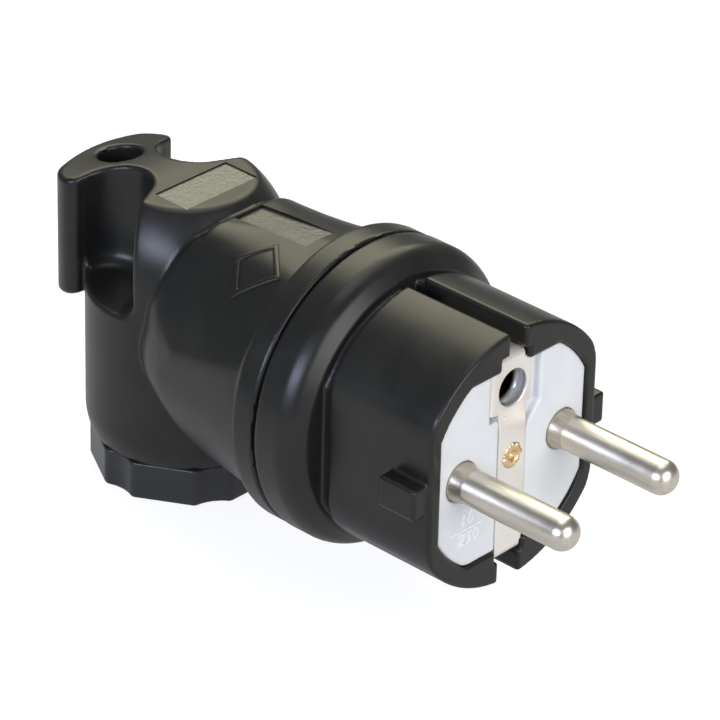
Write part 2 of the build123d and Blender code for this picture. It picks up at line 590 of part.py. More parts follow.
# Moulded rubber rear housing: half of the collar, a neck that tapers from the ring to the gland
# stub, a bell and pad above the stub, and the T grip behind
with BuildPart() as rear_housing:
    with BuildSketch(gland_plane) as bell:
        with BuildLine():
            Polyline(
                (PAD_RADIUS, PAD_HEIGHT),
                (0, PAD_HEIGHT),
                (0, thread_bottom),
                (GLAND_THREAD_RADIUS, thread_bottom),
                (GLAND_THREAD_RADIUS, STUB_BOTTOM),
                (STUB_RADIUS - STUB_EDGE, STUB_BOTTOM),
            )
            stub_round = (STUB_RADIUS, STUB_BOTTOM + STUB_EDGE)
            TangentArc((STUB_RADIUS - STUB_EDGE, STUB_BOTTOM), stub_round, tangent=(1, 0))
            Line(stub_round, (STUB_RADIUS, BELL_BOTTOM))
            TangentArc((STUB_RADIUS, BELL_BOTTOM), (PAD_RADIUS, PAD_HEIGHT), tangent=(0, 1))
        make_face()
        fillet(bell.vertices().group_by(Axis.Y)[-1].sort_by(Axis.X)[-1], PAD_EDGE)
    revolve(axis=gland_axis)
    neck_front = ring_back + NECK_LAP
    neck_slope = tan(radians(NECK_TOP_SLOPE))
    neck_side = ring_radius - NECK_SIDE_INSET
    neck_bottom = NECK_BOTTOM_INSET - ring_radius
    neck_top = ring_radius - NECK_TOP_INSET
    neck_sections = (
        (neck_front, NECK_FRONT_TOP_WIDTH, NECK_FRONT_BULGE, neck_side, NECK_FRONT_CREASE, neck_bottom),
        (
            -NECK_REAR_SETBACK,
            NECK_REAR_TOP_WIDTH,
            NECK_REAR_BULGE,
            NECK_REAR_SIDE,
            NECK_REAR_CREASE,
            NECK_REAR_BOTTOM,
        ),
        (
            gland_x + NECK_TAIL,
            NECK_TAIL_TOP_WIDTH,
            NECK_REAR_BULGE,
            NECK_TAIL_SIDE,
            NECK_TAIL_CREASE,
            NECK_TAIL_BOTTOM,
        ),
    )
    for section_x, top_width, bulge, side, crease, bottom in neck_sections:
        top = neck_top + (section_x - neck_front) * neck_slope
        with BuildSketch(Plane.YZ.offset(section_x)):
            with BuildLine():
                Line((-top_width / 2, top), (top_width / 2, top))
                SagittaArc((top_width / 2, top), (side, crease), bulge)
                ThreePointArc((side, crease), (0, bottom), (-side, crease))
                SagittaArc((-side, crease), (-top_width / 2, top), bulge)
            make_face()
    loft(ruled=True)
    with BuildSketch(Plane.XZ) as ring:
        with Locations((ring_back + RING_LENGTH / 2, ring_radius / 2)):
            Rectangle(RING_LENGTH, ring_radius)
        fillet(ring.vertices().group_by(Axis.Y)[-1].sort_by(Axis.X)[0], RING_EDGE)
    revolve(axis=Axis.X)
    with BuildSketch(Plane.XY.offset(GRIP_BOTTOM)) as grip_plan:
        with Locations((-GRIP_BACK + GRIP_ARC_RADIUS, 0)):
            Circle(GRIP_ARC_RADIUS)
        with Locations((-GRIP_BACK, 0)):
            Rectangle(2 * (GRIP_BACK - GLAND_SETBACK), GRIP_WIDTH, mode=Mode.INTERSECT)
        fillet(grip_plan.vertices().group_by(Axis.X)[0], GRIP_EDGE)
    extrude(amount=PAD_HEIGHT - GRIP_BOTTOM)
    add(scallop.part, mode=Mode.SUBTRACT)
    add(scallop.part.mirror(Plane.XZ), mode=Mode.SUBTRACT)
    with BuildSketch(Plane.XZ):
        with BuildLine():
            slope_run = GRIP_BACK - GRIP_SLOPE_START + GRIP_EDGE
            slope_drop = slope_run * tan(radians(GRIP_SLOPE))
            Polyline(
                (-GRIP_SLOPE_START, PAD_HEIGHT),
                (-GRIP_SLOPE_START - slope_run, PAD_HEIGHT),
                (-GRIP_SLOPE_START - slope_run, PAD_HEIGHT - slope_drop),
                close=True,
            )
        make_face()
    extrude(amount=GRIP_WIDTH, both=True, mode=Mode.SUBTRACT)
    with BuildSketch(Plane.XY.offset(GRIP_BOTTOM)):
        with Locations((-HANG_HOLE_SETBACK, 0)):
            Circle(HANG_HOLE_DIAMETER / 2)
    extrude(amount=PAD_HEIGHT - GRIP_BOTTOM, mode=Mode.SUBTRACT)
    hole_z = PAD_HEIGHT - (HANG_HOLE_SETBACK - GRIP_SLOPE_START) * tan(radians(GRIP_SLOPE))
    rims = rear_housing.edges().filter_by(GeomType.ELLIPSE)
    hole_rim = rims.sort_by_distance((-HANG_HOLE_SETBACK, 0, hole_z))[0]
    chamfer(hole_rim, HANG_HOLE_CHAMFER)
    with BuildSketch(Plane.XY.offset(PAD_HEIGHT)):
        with Locations((-PAD_MARK_SETBACK, 0)):
            Rectangle(PAD_MARK_LENGTH, PAD_MARK_WIDTH)
    extrude(amount=-LABEL_DEPTH, mode=Mode.SUBTRACT)
    label_z = neck_top + (-LABEL_SETBACK - neck_front) * neck_slope
    slope = radians(NECK_TOP_SLOPE)
    label_plane = Plane(
        origin=(-LABEL_SETBACK, 0, label_z),
        x_dir=(cos(slope), 0, sin(slope)),
        z_dir=(-sin(slope), 0, cos(slope)),
    )
    with BuildSketch(label_plane):
        Rectangle(LABEL_LENGTH, LABEL_WIDTH)
    extrude(amount=-LABEL_DEPTH, mode=Mode.SUBTRACT)
    with BuildSketch(Plane.XZ):
        with BuildLine():
            socket_back = spigot_back - FIT
            groove_half = SNAP_BEAD_WIDTH / 2 + FIT
            Polyline(
                (ring_front, 0),
                (ring_front, spigot_radius + FIT),
                (bead_x + groove_half, spigot_radius + FIT),
                (bead_x, spigot_radius + SNAP_BEAD_HEIGHT + FIT),
                (bead_x - groove_half, spigot_radius + FIT),
                (socket_back, spigot_radius + FIT),
                (socket_back, cavity_radius),
                (socket_back - CAVITY_STRAIGHT, cavity_radius),
                (-CAVITY_END_SETBACK, CAVITY_END_RADIUS),
                (-CAVITY_END_SETBACK, 0),
                close=True,
            )
        make_face()
    revolve(axis=Axis.X, mode=Mode.SUBTRACT)
    with BuildSketch(gland_plane):
        with BuildLine():
            Polyline(
                (0, thread_bottom),
                (GLAND_POCKET_RADIUS, thread_bottom),
                (GLAND_POCKET_RADIUS, GLAND_POCKET_TOP),
                (CORD_PASSAGE_RADIUS, GLAND_POCKET_TOP),
                (CORD_PASSAGE_RADIUS, passage_top),
                (0, passage_top),
                close=True,
            )
        make_face()
    revolve(axis=gland_axis, mode=Mode.SUBTRACT)
rear_housing.part.label = "rear_housing"
export_step(rear_housing.part, "parts/rear_housing.step")


# Slit plastic ring above the seal that closes on the cord
with BuildPart() as clamp_ring:
    with BuildSketch(Plane.XY.offset(seal_top)):
        with Locations((gland_x, 0)):
            Circle(GLAND_POCKET_RADIUS - FIT)
            Circle(cord_bore, mode=Mode.SUBTRACT)
            with PolarLocations(cord_bore, CLAMP_RING_SLITS):
                Rectangle(CLAMP_RING_LIP, CLAMP_RING_SLIT_WIDTH, mode=Mode.SUBTRACT)
    extrude(amount=CLAMP_RING_THICKNESS)
clamp_ring.part.label = "clamp_ring"
export_step(clamp_ring.part, "parts/clamp_ring.step")


# Rubber sleeve that seals on the cord
with BuildPart() as gland_seal:
    with BuildSketch(Plane.XY.offset(seal_bottom)):
        with Locations((gland_x, 0)):
            Circle(GLAND_POCKET_RADIUS - FIT)
            Circle(CORD_DIAMETER / 2, mode=Mode.SUBTRACT)
    extrude(amount=seal_top - seal_bottom)
gland_seal.part.label = "gland_seal"
export_step(gland_seal.part, "parts/gland_seal.step")


# Slip washer that keeps the nut from twisting the seal
with BuildPart() as slip_washer:
    with BuildSketch(Plane.XY.offset(nut_floor)):
        with Locations((gland_x, 0)):
            Circle(GLAND_POCKET_RADIUS - FIT)
            Circle(cord_bore, mode=Mode.SUBTRACT)
    extrude(amount=SLIP_WASHER_THICKNESS)
slip_washer.part.label = "slip_washer"
export_step(slip_washer.part, "parts/slip_washer.step")


# Gland nut: a six-sided cap, hollowed at each corner for the fingers, that screws over the
# threaded end of the stub
with BuildPart() as gland_nut:
    nut_top = STUB_BOTTOM - NUT_GAP
    nut_turn = 180 / NUT_SIDES
    with BuildSketch(Plane.XY.offset(NUT_BOTTOM)):
        with Locations((gland_x, 0)):
            RegularPolygon(NUT_ACROSS_FLATS / 2, NUT_SIDES, major_radius=False, rotation=nut_turn)
    extrude(amount=nut_top - NUT_BOTTOM)
    with BuildSketch(Plane.XY.offset(NUT_BOTTOM)):
        with Locations((gland_x, 0)):
            notch_reach = NUT_NOTCH_ACROSS / 2 + NUT_NOTCH_RADIUS
            with PolarLocations(notch_reach, NUT_SIDES, start_angle=nut_turn):
                Circle(NUT_NOTCH_RADIUS)
    extrude(amount=nut_top - NUT_BOTTOM, mode=Mode.SUBTRACT)
    chamfer(gland_nut.faces().sort_by(Axis.Z)[0].edges(), NUT_EDGE)
    with BuildSketch(Plane.XY.offset(nut_floor)):
        with Locations((gland_x, 0)):
            Circle(GLAND_THREAD_RADIUS + FIT)
    extrude(amount=nut_top - nut_floor, mode=Mode.SUBTRACT)
    with BuildSketch(Plane.XY.offset(NUT_BOTTOM)):
        with Locations((gland_x, 0)):
            Circle(NUT_ENTRY_DIAMETER / 2)
    extrude(amount=NUT_WALL, mode=Mode.SUBTRACT)
gland_nut.part.label = "gland_nut"
export_step(gland_nut.part, "parts/gland_nut.step")
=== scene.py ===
import math

import bpy
import numpy as np
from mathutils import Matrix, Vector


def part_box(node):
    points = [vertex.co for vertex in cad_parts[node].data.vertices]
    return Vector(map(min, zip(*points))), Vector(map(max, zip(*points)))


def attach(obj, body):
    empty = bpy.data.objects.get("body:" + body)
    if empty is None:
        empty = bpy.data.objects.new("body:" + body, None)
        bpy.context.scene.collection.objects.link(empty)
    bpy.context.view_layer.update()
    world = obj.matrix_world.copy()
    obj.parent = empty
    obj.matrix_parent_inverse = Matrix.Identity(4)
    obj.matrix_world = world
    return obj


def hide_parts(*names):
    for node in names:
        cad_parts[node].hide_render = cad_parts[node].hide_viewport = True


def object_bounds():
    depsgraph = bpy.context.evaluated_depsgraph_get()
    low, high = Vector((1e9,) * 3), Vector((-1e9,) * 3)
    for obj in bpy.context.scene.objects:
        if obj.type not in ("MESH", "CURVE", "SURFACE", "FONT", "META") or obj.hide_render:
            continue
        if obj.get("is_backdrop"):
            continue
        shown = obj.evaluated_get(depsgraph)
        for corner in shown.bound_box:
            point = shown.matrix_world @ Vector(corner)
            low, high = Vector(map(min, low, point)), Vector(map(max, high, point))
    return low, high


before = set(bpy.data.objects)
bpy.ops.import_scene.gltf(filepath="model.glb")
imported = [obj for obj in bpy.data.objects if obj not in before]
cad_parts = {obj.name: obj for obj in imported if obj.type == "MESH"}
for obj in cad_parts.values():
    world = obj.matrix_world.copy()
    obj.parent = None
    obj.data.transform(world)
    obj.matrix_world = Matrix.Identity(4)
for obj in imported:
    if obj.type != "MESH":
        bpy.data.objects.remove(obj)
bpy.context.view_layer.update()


# Rear housing. One compression moulding in black rubber: the rear half of the collar, a neck that
# tapers to the gland stub, the bell and pad above it, and the T grip with two finger scallops.
# Its open front takes the spigot of the front shroud; every edge has the mould's small radius.
MM = 0.001


def round_meet(a, b, radius):
    """What two solids share, with the edge between them rounded off (fields in mm, negative inside)."""
    edge = np.hypot(np.maximum(a + radius, 0), np.maximum(b + radius, 0))
    return np.minimum(np.maximum(a, b), -radius) + edge


def round_join(a, b, radius):
    """Two solids in one, with a fillet in the corner between them."""
    corner = np.hypot(np.maximum(radius - a, 0), np.maximum(radius - b, 0))
    return np.maximum(np.minimum(a, b), radius) - corner


def round_cut(a, b, radius):
    """The first solid less the second, with the edge of the cut rounded off."""
    return round_meet(a, -b, radius)


def slab(value, low, high):
    """Field of everything between two limits."""
    return np.maximum(low - value, value - high)


def ramp(value, low, high):
    """Smooth step from 0 at low to 1 at high."""
    t = np.clip((value - low) / (high - low), 0, 1)
    return t * t * (3 - 2 * t)


def add_piece(name, mesh):
    """A named object at the origin that carries the mesh."""
    piece = bpy.data.objects.new(name, mesh)
    bpy.context.scene.collection.objects.link(piece)
    return piece


def drawn_to(field, points, reach):
    """Points moved along the field's slope onto its skin, by no more than reach mm."""
    probe, least_slope = 0.02, 0.2
    slope = np.empty_like(points)
    for axis, step in enumerate(np.eye(3) * probe):
        slope[:, axis] = (field(*(points + step).T) - field(*(points - step).T)) / (2 * probe)
    steep = np.maximum((slope**2).sum(1), least_slope)
    move = np.clip(field(*points.T) / steep, -reach, reach)
    return points - move[:, None] * slope


def mould(name, field, low, high, step, evenings=4):
    """A moulded piece: the skin where its field is zero, found on a grid of step mm, then evened
    out and drawn onto the exact surface."""
    axes = [np.arange(a, b + step, step) for a, b in zip(low, high)]
    grid = field(*np.meshgrid(*axes, indexing="ij"))
    cells = tuple(count - 1 for count in grid.shape)
    total = np.zeros((math.prod(cells), 3))
    hits = np.zeros(math.prod(cells))
    rings = []
    unit = np.eye(3, dtype=int)
    for d in range(3):
        near, far = np.delete(grid, -1, d), np.delete(grid, 0, d)
        start = np.argwhere((near < 0) != (far < 0))
        a, b = near[tuple(start.T)], far[tuple(start.T)]
        crossing = start + (a / (a - b))[:, None] * unit[d]
        e, f = unit[(d + 1) % 3], unit[(d + 2) % 3]
        around = [start - e - f, start - f, start, start - e]
        ring = np.stack([np.ravel_multi_index(tuple(cell.T), cells) for cell in around], 1)
        for corner in ring.T:
            np.add.at(total, corner, crossing)
            np.add.at(hits, corner, 1)
        rings.append(np.where((a < 0)[:, None], ring, ring[:, ::-1]))
    used = np.flatnonzero(hits)
    points = np.array(low) + step * total[used] / hits[used, None]
    quads = np.searchsorted(used, np.concatenate(rings))
    links = np.concatenate([quads[:, [k, (k + 1) % 4]] for k in range(4)])
    degree = np.bincount(links[:, 0], minlength=len(points))[:, None]
    points = drawn_to(field, points, step / 2)
    for _ in range(evenings):
        middle = np.zeros_like(points)
        np.add.at(middle, links[:, 0], points[links[:, 1]])
        points = 0.5 * points + 0.5 * middle / degree
        points = drawn_to(field, points, step / 2)
    points = drawn_to(field, points, step / 2)
    mesh = bpy.data.meshes.new(name)
    mesh.from_pydata((points * MM).tolist(), [], quads.tolist())
    mesh.shade_smooth()
    return add_piece(name, mesh)


BLOCK_FACES = ((0, 1, 3, 2), (4, 6, 7, 5), (0, 4, 5, 1), (2, 3, 7, 6), (0, 2, 6, 4), (1, 5, 7, 3))


def block(name, centre, size, tilt=0):
    """A plain box in mm, turned about Y by tilt radians."""
    corners = np.array([(i, j, k) for i in (-1, 1) for j in (-1, 1) for k in (-1, 1)]) * np.array(size) / 2
    turn = np.array(((math.cos(tilt), 0, -math.sin(tilt)), (0, 1, 0), (math.sin(tilt), 0, math.cos(tilt))))
    mesh = bpy.data.meshes.new(name)
    mesh.from_pydata(((corners @ turn.T + centre) * MM).tolist(), [], BLOCK_FACES)
    return add_piece(name, mesh)


CUT_SHARP = math.radians(62)


def cut_out(piece, cutters):
    """Cuts the boxes out of the piece for good and sets its sharp edges."""
    for cutter in cutters:
        cut = piece.modifiers.new(cutter.name, "BOOLEAN")
        cut.operation = "DIFFERENCE"
        cut.solver = "EXACT"
        cut.object = cutter
    depsgraph = bpy.context.evaluated_depsgraph_get()
    mesh = bpy.data.meshes.new_from_object(piece.evaluated_get(depsgraph))
    piece.modifiers.clear()
    piece.data = mesh
    for cutter in cutters:
        bpy.data.objects.remove(cutter)
    mesh.shade_smooth()
    mesh.set_sharp_from_angle(angle=CUT_SHARP)


RING_RADIUS = 20.886
RING_FRONT, RING_BACK = -26.1, -30.0
RING_FRONT_EDGE, RING_BACK_EDGE = 0.25, 0.8
NECK_PLACES = (-58.0, -48.7, -29.0)
NECK_TOP_HALF = (6.25, 7.4, 3.5)
NECK_SIDE = (15.8, 16.7, 18.586)
NECK_CREASE = (-1.9, 1.85, 9.1)
BELLY_Z, BELLY_RADIUS, BELLY_ROUND = (0.3, -1.0, 0.4), (15.8, 16.5, 19.9), (0.0, 0.0, 0.7)
NECK_TOP, NECK_OVERLAP = 18.736, 0.5
NECK_SLOPE = math.radians(5.2)
NECK_BULGE = (0.8, 0.8, 1.9)
NECK_EDGE, NECK_CREASE_EDGE = 2.2, ((-53.0, -45.0), (3.5, 0.4))
NECK_END_X, NECK_END_Z, NECK_END_FRONT = -59.2, 2.5, -48.8
NECK_END_RISE, NECK_END_FALL = 0.06, 0.027
NECK_END_EDGE = ((3.0, 12.0, 15.0), (12.0, 4.0, 1.5))
GLAND_X = -58.4
STUB_RADIUS, STUB_BOTTOM, STUB_EDGE = 14.0, -19.5, 0.2
FOOT_TOP, FOOT_DRAFT = -15.5, 0.9
BELL_BOTTOM, BELL_LEAN = 7.0, 0.5
PAD_HEIGHT, PAD_RADIUS, PAD_EDGE = 17.95, 9.5, 0.45
THREAD_RADIUS, THREAD_BOTTOM, THREAD_OVERLAP = 11.0, -23.2, 4.0
GRIP_CENTRE_X, GRIP_ARC, GRIP_HALF = -51.0, 26.0, 9.6
GRIP_BOTTOM, GRIP_BOTTOM_SLOPE, GRIP_BOTTOM_EDGE, GRIP_TOP_EDGE = -1.6, 0.25, 1.0, 0.5
GRIP_SLOPE_X, GRIP_SLOPE, GRIP_EASE = -65.0, math.radians(10), 4.0
GRIP_CROWN, GRIP_CROWN_START, GRIP_CROWN_FULL = 0.009, 64.0, 70.0
SCALLOP_X, SCALLOP_Y, SCALLOP_RADIUS, SCALLOP_BOTTOM = -64.9, 8.2, 5.6, 2.5
SCALLOP_FLARE, FLARE_START, FLARE_BEND = math.radians(26.5), 5.0, 0.04
SCALLOP_FOOT, SCALLOP_EDGE = 2.4, 0.45
ARM_TIP, ARM_BACK_EDGE, ARM_FRONT_EDGE = 8.0, 2.8, 1.9
HANG_X, HANG_RADIUS, HANG_EDGE = -71.6, 3.05, 0.45
HOUSING_FILLET = 0.35
SOCKET_RADIUS, SOCKET_BACK = 17.486, -29.6
WIRING_PLACES, WIRING_RADIUS = (-56.5, -33.6), (6.5, 14.386)
GLAND_POCKET_RADIUS, GLAND_POCKET_TOP = 9.0, -12.0
PASSAGE_RADIUS, PASSAGE_TOP = 7.6, -0.5
HOUSING_SPACE, HOUSING_STEP = ((-77.9, -21.8, -24.0), (-26.0, 21.8, 21.8)), 0.415


def neck_field(x, y, z):
    """Neck section: a flat top, two bulged flanks down to a soft crease, and a round underside."""
    top = NECK_TOP + (x - NECK_PLACES[2]) * math.tan(NECK_SLOPE)
    half = np.interp(x, NECK_PLACES, NECK_TOP_HALF)
    side = np.interp(x, NECK_PLACES, NECK_SIDE)
    crease = np.interp(x, NECK_PLACES, NECK_CREASE)
    chord = np.hypot(side - half, crease - top)
    out_y, out_z = (top - crease) / chord, (side - half) / chord
    bulge = np.interp(x, NECK_PLACES, NECK_BULGE)
    bend = (chord**2 / 4 + bulge**2) / (2 * bulge)
    centre_y = (half + side) / 2 - out_y * (bend - bulge)
    centre_z = (top + crease) / 2 - out_z * (bend - bulge)
    flank = np.hypot(np.abs(y) - centre_y, z - centre_z) - bend
    below = z - np.interp(x, NECK_PLACES, BELLY_Z)
    below = np.where(below > 0, below * np.interp(x, NECK_PLACES, BELLY_ROUND), below)
    belly = np.hypot(y, below) - np.interp(x, NECK_PLACES, BELLY_RADIUS)
    section = round_meet(flank, belly, np.interp(x, *NECK_CREASE_EDGE))
    section = round_meet(section, z - top, NECK_EDGE)
    rise = z - NECK_END_Z
    end = NECK_END_X + np.where(rise > 0, NECK_END_RISE, NECK_END_FALL) * rise**2
    end = np.where(rise > 0, np.minimum(end, NECK_END_FRONT), end)
    section = round_meet(section, end - x, np.interp(z, *NECK_END_EDGE))
    return np.maximum(section, x - NECK_PLACES[2] - NECK_OVERLAP)


def crown(x, y):
    """Height of the pad's and the grip's common top: level over the pad, sloping and arched behind."""
    run = np.clip(GRIP_SLOPE_X + GRIP_EASE - x, 0, 2 * GRIP_EASE)
    fall = run**2 / (4 * GRIP_EASE) + np.maximum(GRIP_SLOPE_X - GRIP_EASE - x, 0)
    arch = GRIP_CROWN * y**2 * ramp(-x, GRIP_CROWN_START, GRIP_CROWN_FULL)
    return PAD_HEIGHT - fall * math.tan(GRIP_SLOPE) - arch


def stub_field(x, y, z):
    """Gland stub with its threaded end, and the bell and pad above it."""
    reach = np.hypot(x - GLAND_X + BELL_LEAN * ramp(z, BELL_BOTTOM, PAD_HEIGHT), y)
    drop, rise = STUB_RADIUS - PAD_RADIUS, PAD_HEIGHT - BELL_BOTTOM
    bend = (rise**2 + drop**2) / (2 * drop)
    wall = np.hypot(reach - STUB_RADIUS + bend, np.maximum(z - BELL_BOTTOM, 0)) - bend
    wall = np.where(reach > STUB_RADIUS - bend, wall, reach - STUB_RADIUS)
    wall = round_meet(wall, z - crown(x, y), PAD_EDGE)
    foot = np.clip((FOOT_TOP - z) / (FOOT_TOP - STUB_BOTTOM), 0, 1)
    wall = round_meet(wall + FOOT_DRAFT * foot**2, STUB_BOTTOM - z, STUB_EDGE)
    thread = np.maximum(reach - THREAD_RADIUS, slab(z, THREAD_BOTTOM, STUB_BOTTOM + THREAD_OVERLAP))
    return np.minimum(wall, thread)


def scallop_plan(x, y):
    """Both finger scallops in plan: round at the bottom, open outwards along a flare."""
    along, across = x - SCALLOP_X, np.abs(y) - SCALLOP_Y
    back = -along
    flare = along * math.cos(SCALLOP_FLARE) - across * math.sin(SCALLOP_FLARE)
    run = along * math.sin(SCALLOP_FLARE) + across * math.cos(SCALLOP_FLARE)
    flare = flare - FLARE_BEND * np.maximum(run - FLARE_START, 0) ** 2
    outside = np.hypot(along, across)
    outside = np.where((flare > 0) & (run >= 0), flare, outside)
    outside = np.where((back > 0) & (across >= 0), back, outside)
    inside = np.maximum(back, flare)
    return np.where(inside <= 0, inside, outside) - SCALLOP_RADIUS


def grip_field(x, y, z):
    """T grip behind the pad: two round-tipped arms with a round back and a sloping top."""
    plan = round_meet(np.hypot(x - GRIP_CENTRE_X, y) - GRIP_ARC, np.abs(y) - GRIP_HALF, ARM_BACK_EDGE)
    tip = np.maximum(scallop_plan(x, y), ARM_TIP - np.abs(y))
    plan = round_cut(plan, tip, ARM_FRONT_EDGE)
    bar = round_meet(plan, z - crown(x, y), GRIP_TOP_EDGE)
    bar = round_meet(bar, GRIP_BOTTOM + GRIP_BOTTOM_SLOPE * (x - HANG_X) - z, GRIP_BOTTOM_EDGE)
    return np.maximum(bar, x - GLAND_X)


def housing_field(x, y, z):
    """The whole rear housing with its wiring space and cord passage."""
    radius = np.hypot(y, z)
    ring = round_meet(radius - RING_RADIUS, RING_BACK - x, RING_BACK_EDGE)
    ring = round_meet(ring, x - RING_FRONT, RING_FRONT_EDGE)
    body = round_join(ring, neck_field(x, y, z), HOUSING_FILLET)
    rear = np.minimum(stub_field(x, y, z), grip_field(x, y, z))
    scallop = round_meet(scallop_plan(x, y), SCALLOP_BOTTOM - z, SCALLOP_FOOT)
    rear = round_cut(rear, scallop, SCALLOP_EDGE)
    body = round_join(body, rear, HOUSING_FILLET)
    hole = np.maximum(np.hypot(x - HANG_X, y) - HANG_RADIUS, GRIP_BOTTOM - z)
    body = round_cut(body, hole, HANG_EDGE)
    socket = np.maximum(radius - SOCKET_RADIUS, SOCKET_BACK - x)
    wiring = np.maximum(radius - np.interp(x, WIRING_PLACES, WIRING_RADIUS), WIRING_PLACES[0] - x)
    reach = np.hypot(x - GLAND_X, y)
    pocket = np.maximum(reach - GLAND_POCKET_RADIUS, z - GLAND_POCKET_TOP)
    passage = np.maximum(reach - PASSAGE_RADIUS, z - PASSAGE_TOP)
    for space in (socket, wiring, pocket, passage):
        body = np.maximum(body, -space)
    return body


rear_housing = mould("rear_housing_rubber", housing_field, *HOUSING_SPACE, HOUSING_STEP)

# Two shallow plain recesses: one on the pad, one on the sloping top of the neck. Their floors are
# as rough as the mould was left there; their paler colour is partly that rough matt skin and partly
# painted sheen of the broad highlight they catch.
NECK_RECESS_X, NECK_RECESS_SIZE, NECK_RECESS_DEPTH = -40.9, (13.2, 5.2), 0.45
PAD_RECESS_X, PAD_RECESS_SIZE, PAD_RECESS_DEPTH = -55.2, (6.0, 13.2), 0.2
FLOOR_TOLERANCE = 0.05
recess_z = NECK_TOP + (NECK_RECESS_X - NECK_PLACES[2]) * math.tan(NECK_SLOPE)
neck_cutter = block(
    "neck_recess", (NECK_RECESS_X, 0, recess_z), (*NECK_RECESS_SIZE, 2 * NECK_RECESS_DEPTH), NECK_SLOPE
)
pad_cutter = block("pad_recess", (PAD_RECESS_X, 0, PAD_HEIGHT), (*PAD_RECESS_SIZE, 2 * PAD_RECESS_DEPTH))
cut_out(rear_housing, [neck_cutter, pad_cutter])


def add_group(name, colours, scales):
    """An empty shader node group that takes colours and scales and gives a surface's three marks."""
    group = bpy.data.node_groups.new(name, "ShaderNodeTree")
    sockets = [(label, "INPUT", "Color") for label in colours]
    sockets += [(label, "INPUT", "Float") for label in scales]
    sockets += [("Colour", "OUTPUT", "Color")]
    sockets += [(label, "OUTPUT", "Float") for label in ("Roughness", "Height")]
    for label, way, kind in sockets:
        group.interface.new_socket(label, in_out=way, socket_type="NodeSocket" + kind)
    return group, group.nodes.new("NodeGroupInput").outputs, group.nodes.new("NodeGroupOutput").inputs


def add_node(tree, kind, settings=(), inputs=()):
    """A node with its settings in place; each input is another node's output or a plain value."""
    node = tree.nodes.new(kind)
    for key, value in dict(settings).items():
        setattr(node, key, value)
    for key, value in dict(inputs).items():
        if isinstance(value, bpy.types.NodeSocket):
            tree.links.new(value, node.inputs[key])
        else:
            node.inputs[key].default_value = value
    return node


def calculate(tree, operation, first, second, clamp=False):
    """A sum, a product or the like of two numbers."""
    settings = {"operation": operation, "use_clamp": clamp}
    return add_node(tree, "ShaderNodeMath", settings, {0: first, 1: second}).outputs[0]


def mix_colours(tree, mask, first, second):
    """Colour that goes from the first to the second by the mask."""
    inputs = {"Factor": mask, 6: first, 7: second}
    return add_node(tree, "ShaderNodeMix", {"data_type": "RGBA"}, inputs).outputs[2]


def between(tree, value, low, high, to_low, to_high):
    """The value's range from low to high drawn out to another range."""
    inputs = {"Value": value, "From Min": low, "From Max": high, "To Min": to_low, "To Max": to_high}
    return add_node(tree, "ShaderNodeMapRange", {}, inputs).outputs["Result"]


def noise(tree, place, scale, detail, roughness):
    """Soft noise of a scale, from 0 to 1."""
    inputs = {"Vector": place, "Scale": scale, "Detail": detail, "Roughness": roughness}
    return add_node(tree, "ShaderNodeTexNoise", {}, inputs).outputs["Fac"]


def moulded_skin():
    """What a mould leaves on rubber and plastic: fine grain, faint clouds, scuffed edges, stray dust."""
    tree, given, result = add_group("moulded_skin", ("Dark", "Light", "Dust"), ("Grain", "Clouds"))
    place = add_node(tree, "ShaderNodeTexCoord").outputs["Object"]
    grain = noise(tree, place, given["Grain"], detail=3.0, roughness=0.65)
    cloud = noise(tree, place, given["Clouds"], detail=4.0, roughness=0.6)
    cell = add_node(tree, "ShaderNodeTexVoronoi", {}, {"Vector": place, "Scale": 230.0}).outputs
    near = between(tree, cell["Distance"], 0.012, 0.03, 1, 0)
    pick = add_node(tree, "ShaderNodeSeparateColor", {}, {"Color": cell["Color"]}).outputs["Red"]
    dust = calculate(tree, "MULTIPLY", near, between(tree, pick, 0.72, 0.74, 0, 0.8))
    crest = add_node(tree, "ShaderNodeNewGeometry").outputs["Pointiness"]
    scuff = between(tree, crest, 0.53, 0.62, 0, 0.45)
    shade = between(tree, cloud, 0.3, 0.7, 0, 1)
    speckle = between(tree, grain, 0.3, 0.7, -0.25, 0.25)
    shade = calculate(tree, "ADD", shade, speckle, clamp=True)
    shade = calculate(tree, "MAXIMUM", shade, scuff)
    colour = mix_colours(tree, shade, given["Dark"], given["Light"])
    colour = mix_colours(tree, dust, colour, given["Dust"])
    tree.links.new(colour, result["Colour"])
    tree.links.new(between(tree, cloud, 0.3, 0.7, 0.28, 0.37), result["Roughness"])
    tree.links.new(grain, result["Height"])
    return tree


def marked_material(name, group, colours, scales, levels, bump, depth):
    """A material that wears a group's marks in its own colours, with plain levels of its shader."""
    material = bpy.data.materials.new(name)
    material.use_nodes = True
    tree = material.node_tree
    shader = tree.nodes["Principled BSDF"].inputs
    for label, level in levels.items():
        shader[label].default_value = level
    values = {label: (*colour, 1) for label, colour in colours.items()}
    marks = add_node(tree, "ShaderNodeGroup", {"node_tree": group}, {**values, **scales}).outputs
    inputs = {"Strength": bump, "Distance": depth, "Height": marks["Height"]}
    relief = add_node(tree, "ShaderNodeBump", {}, inputs)
    tree.links.new(marks["Colour"], shader["Base Color"])
    tree.links.new(marks["Roughness"], shader["Roughness"])
    tree.links.new(relief.outputs["Normal"], shader["Normal"])
    return material


MOULDED_SKIN = moulded_skin()


def skinned_material(
    name, dark, light, dust=(0.4, 0.4, 0.37), grain=2600.0, clouds=110.0,
    specular=0.4, bump=0.25, depth=0.00002,
):
    """Rubber or plastic as it leaves the mould."""
    colours, scales = {"Dark": dark, "Light": light, "Dust": dust}, {"Grain": grain, "Clouds": clouds}
    return marked_material(name, MOULDED_SKIN, colours, scales, {"Specular IOR Level": specular}, bump, depth)


